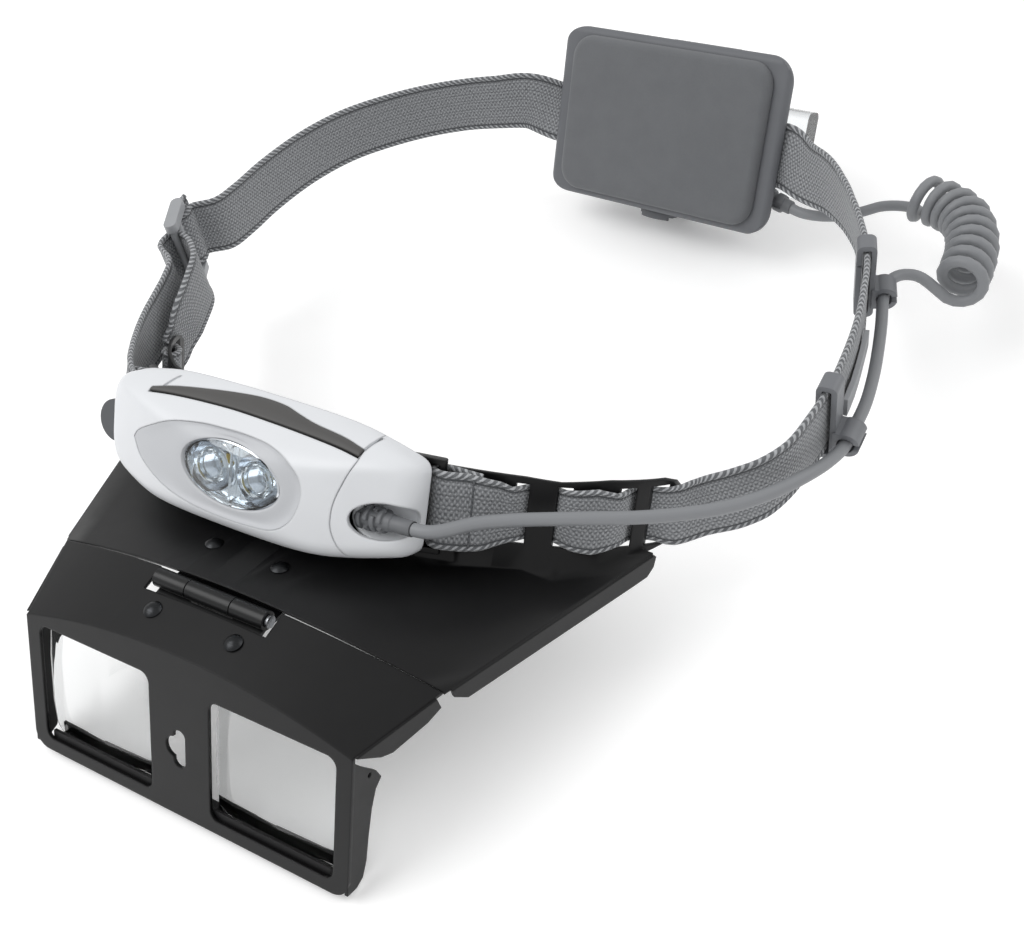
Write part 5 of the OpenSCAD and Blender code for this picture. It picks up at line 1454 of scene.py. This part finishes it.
        def edge(points: np.ndarray, push: float) -> np.ndarray:
            line = spline([Vector((p[0], p[1], 0)) for p in points], 0.4)
            return np.interp(x, [p.x for p in line], [p.y for p in line]) + push

        away = math.degrees(grow / 16)
        rows = edge(low, away * self.press_room)[:, None] * (1 - ease) + edge(high, -away)[:, None] * ease
        wide = np.repeat(x[:, None], len(ease), 1)
        flat = np.zeros_like(wide)
        crown = proud + (0.35 * np.sin(np.pi * ease))[None, :] * (0 if grow else 1)
        outer = self.form.around(wide, rows, flat)
        heading = outer - np.stack([wide, flat + self.form.back, flat + self.form.spine_z], -1)
        heading /= np.linalg.norm(heading, axis=-1)[..., None]
        return self.closed_slab(name, outer + heading * crown[..., None], outer - heading * deep)

    def strip_tool(self) -> bpy.types.Object:
        """Solid that cuts the strip's opening, with room below it for the press."""
        return self.strip_patch("strip_tool", self.strip_gap, 3.0, 3.2)

    def groove_tool(self, name: str, line: tuple[float, float, float, float]) -> bpy.types.Object:
        """Narrow solid that scores one slanted groove beside the strip."""
        x0, s0, x1, s1 = line
        along = np.linspace(0, 1, 9)[:, None]
        side = np.array([-0.42, 0.42])[None, :]
        x = x0 + (x1 - x0) * along + side
        swing = s0 + (s1 - s0) * along + side * 0
        flat = np.zeros_like(x)
        return self.closed_slab(name, self.form.around(x, swing, flat, 1.0),
                                self.form.around(x, swing, flat, -0.75))

    def cap_outline(self, gap: float) -> list[tuple[float, float]]:
        """Region of the end cap seen from the front, its seam moved by gap."""
        line = spline([Vector((x, z, 0)) for x, z in self.seam], 0.8)
        return [(p.x + gap, p.y) for p in line] + [(62.0, -24.0), (62.0, 24.0)]

    def shells(self) -> None:
        """White shell and end cap, the dark strip between them and the grooves."""
        shell = self.leaf_skin("lamp_housing")
        round_dish = [Vector((x, z, 0)) for x, z in self.dish + self.dish[:1]]
        dish = [(p.x, p.y) for p in spline(round_dish, 0.7)[:-1]]
        tools = [self.prism("dish_tool", self.grown(dish, 0.1), -40, -12), self.strip_tool(),
                 self.prism("cap_tool", self.cap_outline(-self.seam_gap), -50, 20)]
        tools += [self.groove_tool("groove_tool", line) for line in self.grooves]
        self.cut(shell, tools, Cut.REMOVE)
        self.finish(shell, SHELL_WHITE, "lamp", "shell_white", ("lamp_shell",))
        cap = self.leaf_skin("lamp_end_cap")
        self.cut(cap, [self.prism("cap_tool", self.cap_outline(self.seam_gap), -50, 20)], Cut.KEEP)
        tools = [self.strip_tool(), self.well("well_tool", 0.0)]
        self.cut(cap, tools + [self.groove_tool("groove_tool", self.grooves[1])], Cut.REMOVE)
        self.finish(cap, SHELL_WHITE, "lamp", "shell_white", ("cord_end_cap",))
        well = self.well("cord_well", 1.0)
        self.cut(well, [self.well("well_tool", 0.02), self.outside("outside_tool")], Cut.REMOVE)
        self.finish(well, SHELL_WHITE, "lamp", "shell_white")
        strip = self.strip_patch("push_strip", 0.0, 0.1, 1.3)
        self.apply(strip, "BEVEL", width=0.22, segments=2, limit_method="ANGLE", angle_limit=math.radians(50))
        self.finish(strip, SWITCH_GREY, "switch", "switch_grey", ("switch_bar",))

    def outside(self, name: str) -> bpy.types.Object:
        """Solid that lies on the right end, to trim off what stands proud of the shell."""
        x = np.concatenate([np.linspace(26, self.form.spine_x, 40), np.full(20, self.form.spine_x)])
        lean = np.concatenate([np.zeros(40), np.linspace(4, 86, 20)])
        grid_x, grid_s = np.meshgrid(x, np.linspace(4, 176, 60), indexing="ij")
        grid_l = np.repeat(lean[:, None], 60, 1)
        return self.closed_slab(name, self.form.around(grid_x, grid_s, grid_l, 7.0),
                                self.form.around(grid_x, grid_s, grid_l, -0.03))

    @staticmethod
    def grown(outline: Sequence[tuple[float, float]], by: float) -> list[tuple[float, float]]:
        """Outline moved outwards from its middle by a distance."""
        cx = sum(p[0] for p in outline) / len(outline)
        cz = sum(p[1] for p in outline) / len(outline)
        out = []
        for x, z in outline:
            far = math.hypot(x - cx, z - cz)
            out.append((cx + (x - cx) * (far + by) / far, cz + (z - cz) * (far + by) / far))
        return out

    def well(self, name: str, thick: float) -> bpy.types.Object:
        """Egg-shaped well round the cord's root; with a thickness it is the well's wall, else the hole."""
        deselect()
        bpy.ops.mesh.primitive_uv_sphere_add(segments=56, ring_count=28, radius=1)
        egg = bpy.context.object
        egg.name = name
        tilt, turn = (math.radians(angle) for angle in self.well_turn)
        egg.data.transform(Matrix.Translation(self.well_at) @ Matrix.Rotation(tilt, 4, "Y")
                           @ Matrix.Rotation(turn, 4, "Z")
                           @ Matrix.Diagonal((*(half + thick for half in self.well_half), 1)))
        if thick:
            block = [(20, -20), (70, -20), (70, 20), (20, 20)]
            self.cut(egg, [self.prism("well_front", block, -60, self.well_front)], Cut.REMOVE)
        return egg

    # ------------------------------------------------ bezel, cover and optics
    def oval(self, count: int, grow: float = 0.0) -> np.ndarray:
        """Points (x, z) round the lens, beginning at its right end."""
        a = np.linspace(0, 2 * np.pi, count, endpoint=False)
        x, z = (self.lens_half[0] + grow) * np.cos(a), (self.lens_half[1] + grow) * np.sin(a)
        t = math.radians(self.lens_turn)
        return np.stack([self.lens_at[0] + x * math.cos(t) - z * math.sin(t),
                         self.lens_at[1] + x * math.sin(t) + z * math.cos(t)], -1)

    def dish_edge(self, count: int) -> np.ndarray:
        """Points (x, z) round the dish at the same headings as oval gives."""
        line = spline([Vector((x, z, 0)) for x, z in self.dish + self.dish[:1]], 0.4)[:-1]
        cx, cz = self.lens_at
        turn = np.array([math.atan2((p.y - cz) / self.lens_half[1], (p.x - cx) / self.lens_half[0])
                         for p in line])
        order = np.argsort(turn)
        turn = turn[order]
        xs, zs = np.array([p.x for p in line])[order], np.array([p.y for p in line])[order]
        want = (np.linspace(0, 2 * np.pi, count, endpoint=False) + np.pi) % (2 * np.pi) - np.pi
        return np.stack([np.interp(want, turn, places, period=2 * np.pi) for places in (xs, zs)], -1)

    def bezel(self) -> None:
        """Pale dished ring: nearly flush at the left, a soft step at the right, a lip round the lens."""
        count = 160
        inner, outer = self.oval(count, 0.25), self.dish_edge(count)
        t = np.array([0, 0.03, 0.08, 0.16, 0.3, 0.45, 0.6, 0.72, 0.82, 0.9, 0.95, 0.985, 1.0])
        sink = np.array([2.0, 1.5, 1.32, 1.3, 1.34, 1.4, 1.4, 1.3, 1.05, 0.7, 0.44, 0.26, 0.2])
        flat = inner[None] * (1 - t[:, None, None]) + outer[None] * t[:, None, None]
        left = np.clip((-6 - flat[..., 0]) / 26, 0, 1)
        depth = sink[:, None] * (1 - 0.75 * left)
        depth[0] = 2.2
        y = self.form.front(flat[..., 0], flat[..., 1])
        grid = np.stack([flat[..., 0], y + depth, flat[..., 1]], -1)
        ring = self.sheet("dished_bezel", grid, closed=True)
        self.face_front(ring)
        self.apply(ring, "SOLIDIFY", thickness=1.1, offset=-1.0)
        self.finish(ring, BEZEL_GREY, "lamp", "bezel_grey", ("lens_bezel",), 50)

    def cover(self) -> None:
        """Clear oval window with a raised lip, a little domed."""
        t = np.linspace(0, 1, 12)[1:]
        rim = self.oval(96, -0.05)
        mid = np.array(self.lens_at)
        flat = mid + (rim - mid)[None] * t[:, None, None]
        y = self.form.front(flat[..., 0], flat[..., 1]) + 1.55 - 0.5 * (1 - t[:, None] ** 2)
        grid = np.stack([flat[..., 0], y, flat[..., 1]], -1)
        pane = self.sheet("clear_cover", grid, closed=True)
        activate(pane)
        bpy.ops.object.mode_set(mode="EDIT")
        self.pick(pane, lambda e: e.is_boundary and (e.verts[0].co.x - mid[0]) ** 2
                  + (e.verts[0].co.z - mid[1]) ** 2 < 9)
        bpy.ops.mesh.edge_face_add()
        bpy.ops.object.mode_set(mode="OBJECT")
        self.face_front(pane)
        self.apply(pane, "SOLIDIFY", thickness=0.9, offset=-1.0)
        self.finish(pane, COVER_CLEAR, "lamp", "cover_clear", ("lens_cover",), 40)

    def bowl(self, name: str, profile: Sequence[tuple[float, float]], at: Point,
             steps: int = 48) -> bpy.types.Object:
        """Spin a profile of (radius, depth) round Y.

        Args:
            name: Name of the piece.
            profile: Radius and depth of each point in millimetres.
            at: Centre in the lamp's frame.
            steps: Steps round.

        Returns:
            The turned piece in the lamp's frame's millimetres.
        """
        obj = link_mesh(name, [(at[0] + r, at[1] + d, at[2]) for r, d in profile], [])
        obj.data.edges.add(len(profile) - 1)
        for i, edge in enumerate(obj.data.edges):
            edge.vertices = (i, i + 1)
        activate(obj)
        bpy.ops.object.mode_set(mode="EDIT")
        bpy.ops.mesh.select_all(action="SELECT")
        bpy.ops.mesh.spin(steps=steps, angle=2 * math.pi, center=at, axis=(0, 1, 0))
        bpy.ops.mesh.select_all(action="SELECT")
        bpy.ops.mesh.remove_doubles(threshold=0.004)
        bpy.ops.mesh.normals_make_consistent(inside=False)
        bpy.ops.object.mode_set(mode="OBJECT")
        return obj

    def optics(self) -> None:
        """Bright oval tub with two turned cups, a clear ring lens in each and a rib between them."""
        rim, floor = self.oval(96, -0.1), self.oval(96, -1.3)
        mid = np.array(self.lens_at)
        steps = [(rim, -21.6), (rim * 0.5 + floor * 0.5, -20.9), (floor, -19.6), (floor, -18.9)]
        rows = [np.stack([p[:, 0], np.full(96, y), p[:, 1]], -1) for p, y in steps]
        rows.append(np.stack([np.full(96, mid[0]), np.full(96, -18.7), np.full(96, mid[1])], -1))
        tub = self.sheet("bright_tub", np.array(rows), closed=True)
        self.face_front(tub)
        self.apply(tub, "SOLIDIFY", thickness=0.5, offset=-1.0)
        holes = []
        for s in (-1, 1):
            deselect()
            bpy.ops.mesh.primitive_cylinder_add(vertices=64, radius=self.cup_r - 0.1, depth=14,
                                                location=(mid[0] + s * self.cup_x, -18, mid[1]),
                                                rotation=(math.pi / 2, 0, 0))
            holes.append(bpy.context.object)
            bpy.ops.object.transform_apply(location=True, rotation=True, scale=True)
        self.cut(tub, holes, Cut.REMOVE)
        self.finish(tub, MIRROR_BRIGHT, "lamp", "reflector_bright", ("reflector",))
        for side, s in (("left", 1), ("right", -1)):
            at = (mid[0] + s * self.cup_x, 0.0, mid[1])
            wall = [(2.3 + (self.cup_r - 2.3) * (1 - i / 12) ** 0.5, -19.2 + 7.9 * i / 12) for i in range(13)]
            back = [(r + 0.35, d + 0.2) for r, d in reversed(wall)]
            self.finish(self.bowl(f"{side}_cup", wall + back + wall[:1], at), MIRROR_BRIGHT, "lamp",
                        "reflector_bright")
            ring = [(3.4, -19.6), (3.7, -20.3), (4.2, -20.5), (4.7, -20.3), (5.0, -19.6),
                    (4.6, -18.4), (3.9, -18.4),
                    (3.4, -19.6)]
            self.finish(self.bowl(f"{side}_ring_lens", ring, at), COVER_CLEAR, "lamp", "cover_clear")
        rib = self.slab("centre_rib", (0.9, 2.6, 14.6), (mid[0], -19.9, mid[1]), 0.4, 0.2, 0.1)
        self.finish(rib, COVER_CLEAR, "lamp", "cover_clear")

    def build(self) -> None:
        """Dress the lamp."""
        self.shells()
        self.bezel()
        self.optics()
        self.cover()
        self.keep(["lamp_back"], BACK_GREY)
        self.keep(["led_board"], BOARD_WHITE)
        self.keep(["led_chips"], PHOSPHOR)
        self.keep(["heat_sink"], SINK_ALUMINIUM)
        self.keep(["tilt_pins"], PIN_STEEL)
        self.keep(["lamp_cradle"], CRADLE_BLACK)


@dataclass
class BoxWork(Dresser):
    """Rear battery box: foam pad, tray, case, lid, latch, cells and contacts."""

    def build(self) -> None:
        """Dress the box."""
        pad = self.slab("head_cushion", (81, 3.4, 55.6), (0, 1.7, 0), 8.0, 2.8)
        BOX_PLACE.seat(pad)
        self.hand_over(pad, "band", PAD_FOAM, "pad_foam", ("head_pad",))
        for node, name, body in (("box_base", "box_tray", "band"),
                                 ("battery_case", "battery_housing", "band"),
                                 ("battery_lid", "battery_door", "lid")):
            self.hand_over(self.smooth_copy(node, name, 30), body, BOX_GREY, "box_grey", (node,))
        self.keep(["lid_latch"], BOX_GREY)
        self.keep(["base_screws", "lid_hinge_pin", "latch_pin"], PIN_STEEL)
        self.keep(["spring_contacts", "plate_contacts"], CONTACT_STEEL)
        self.keep(["cells"], CELL_WRAP)
        self.keep(["rear_window"], WINDOW_CLEAR)
        self.keep(["rear_led"], LED_RED)


STRAP_THREAD = MouldedPlastic("grey_sewing_thread", "#5a5c5f", "#4f5154", 0.7, 0.3, 0.01, 0.1)


def main() -> None:
    """Build the studio, then every sub-assembly."""
    logging.basicConfig(level=logging.INFO, format="%(name)s: %(message)s")
    studio = Studio()
    studio.camera()
    LampCord().build()
    StrapWork().build()
    VisorWork().build()
    LampWork().build()
    BoxWork().build()
    low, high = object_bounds()
    studio.floor(low[2] - 0.0005)
    studio.light()


if __name__ == "__main__":
    main()
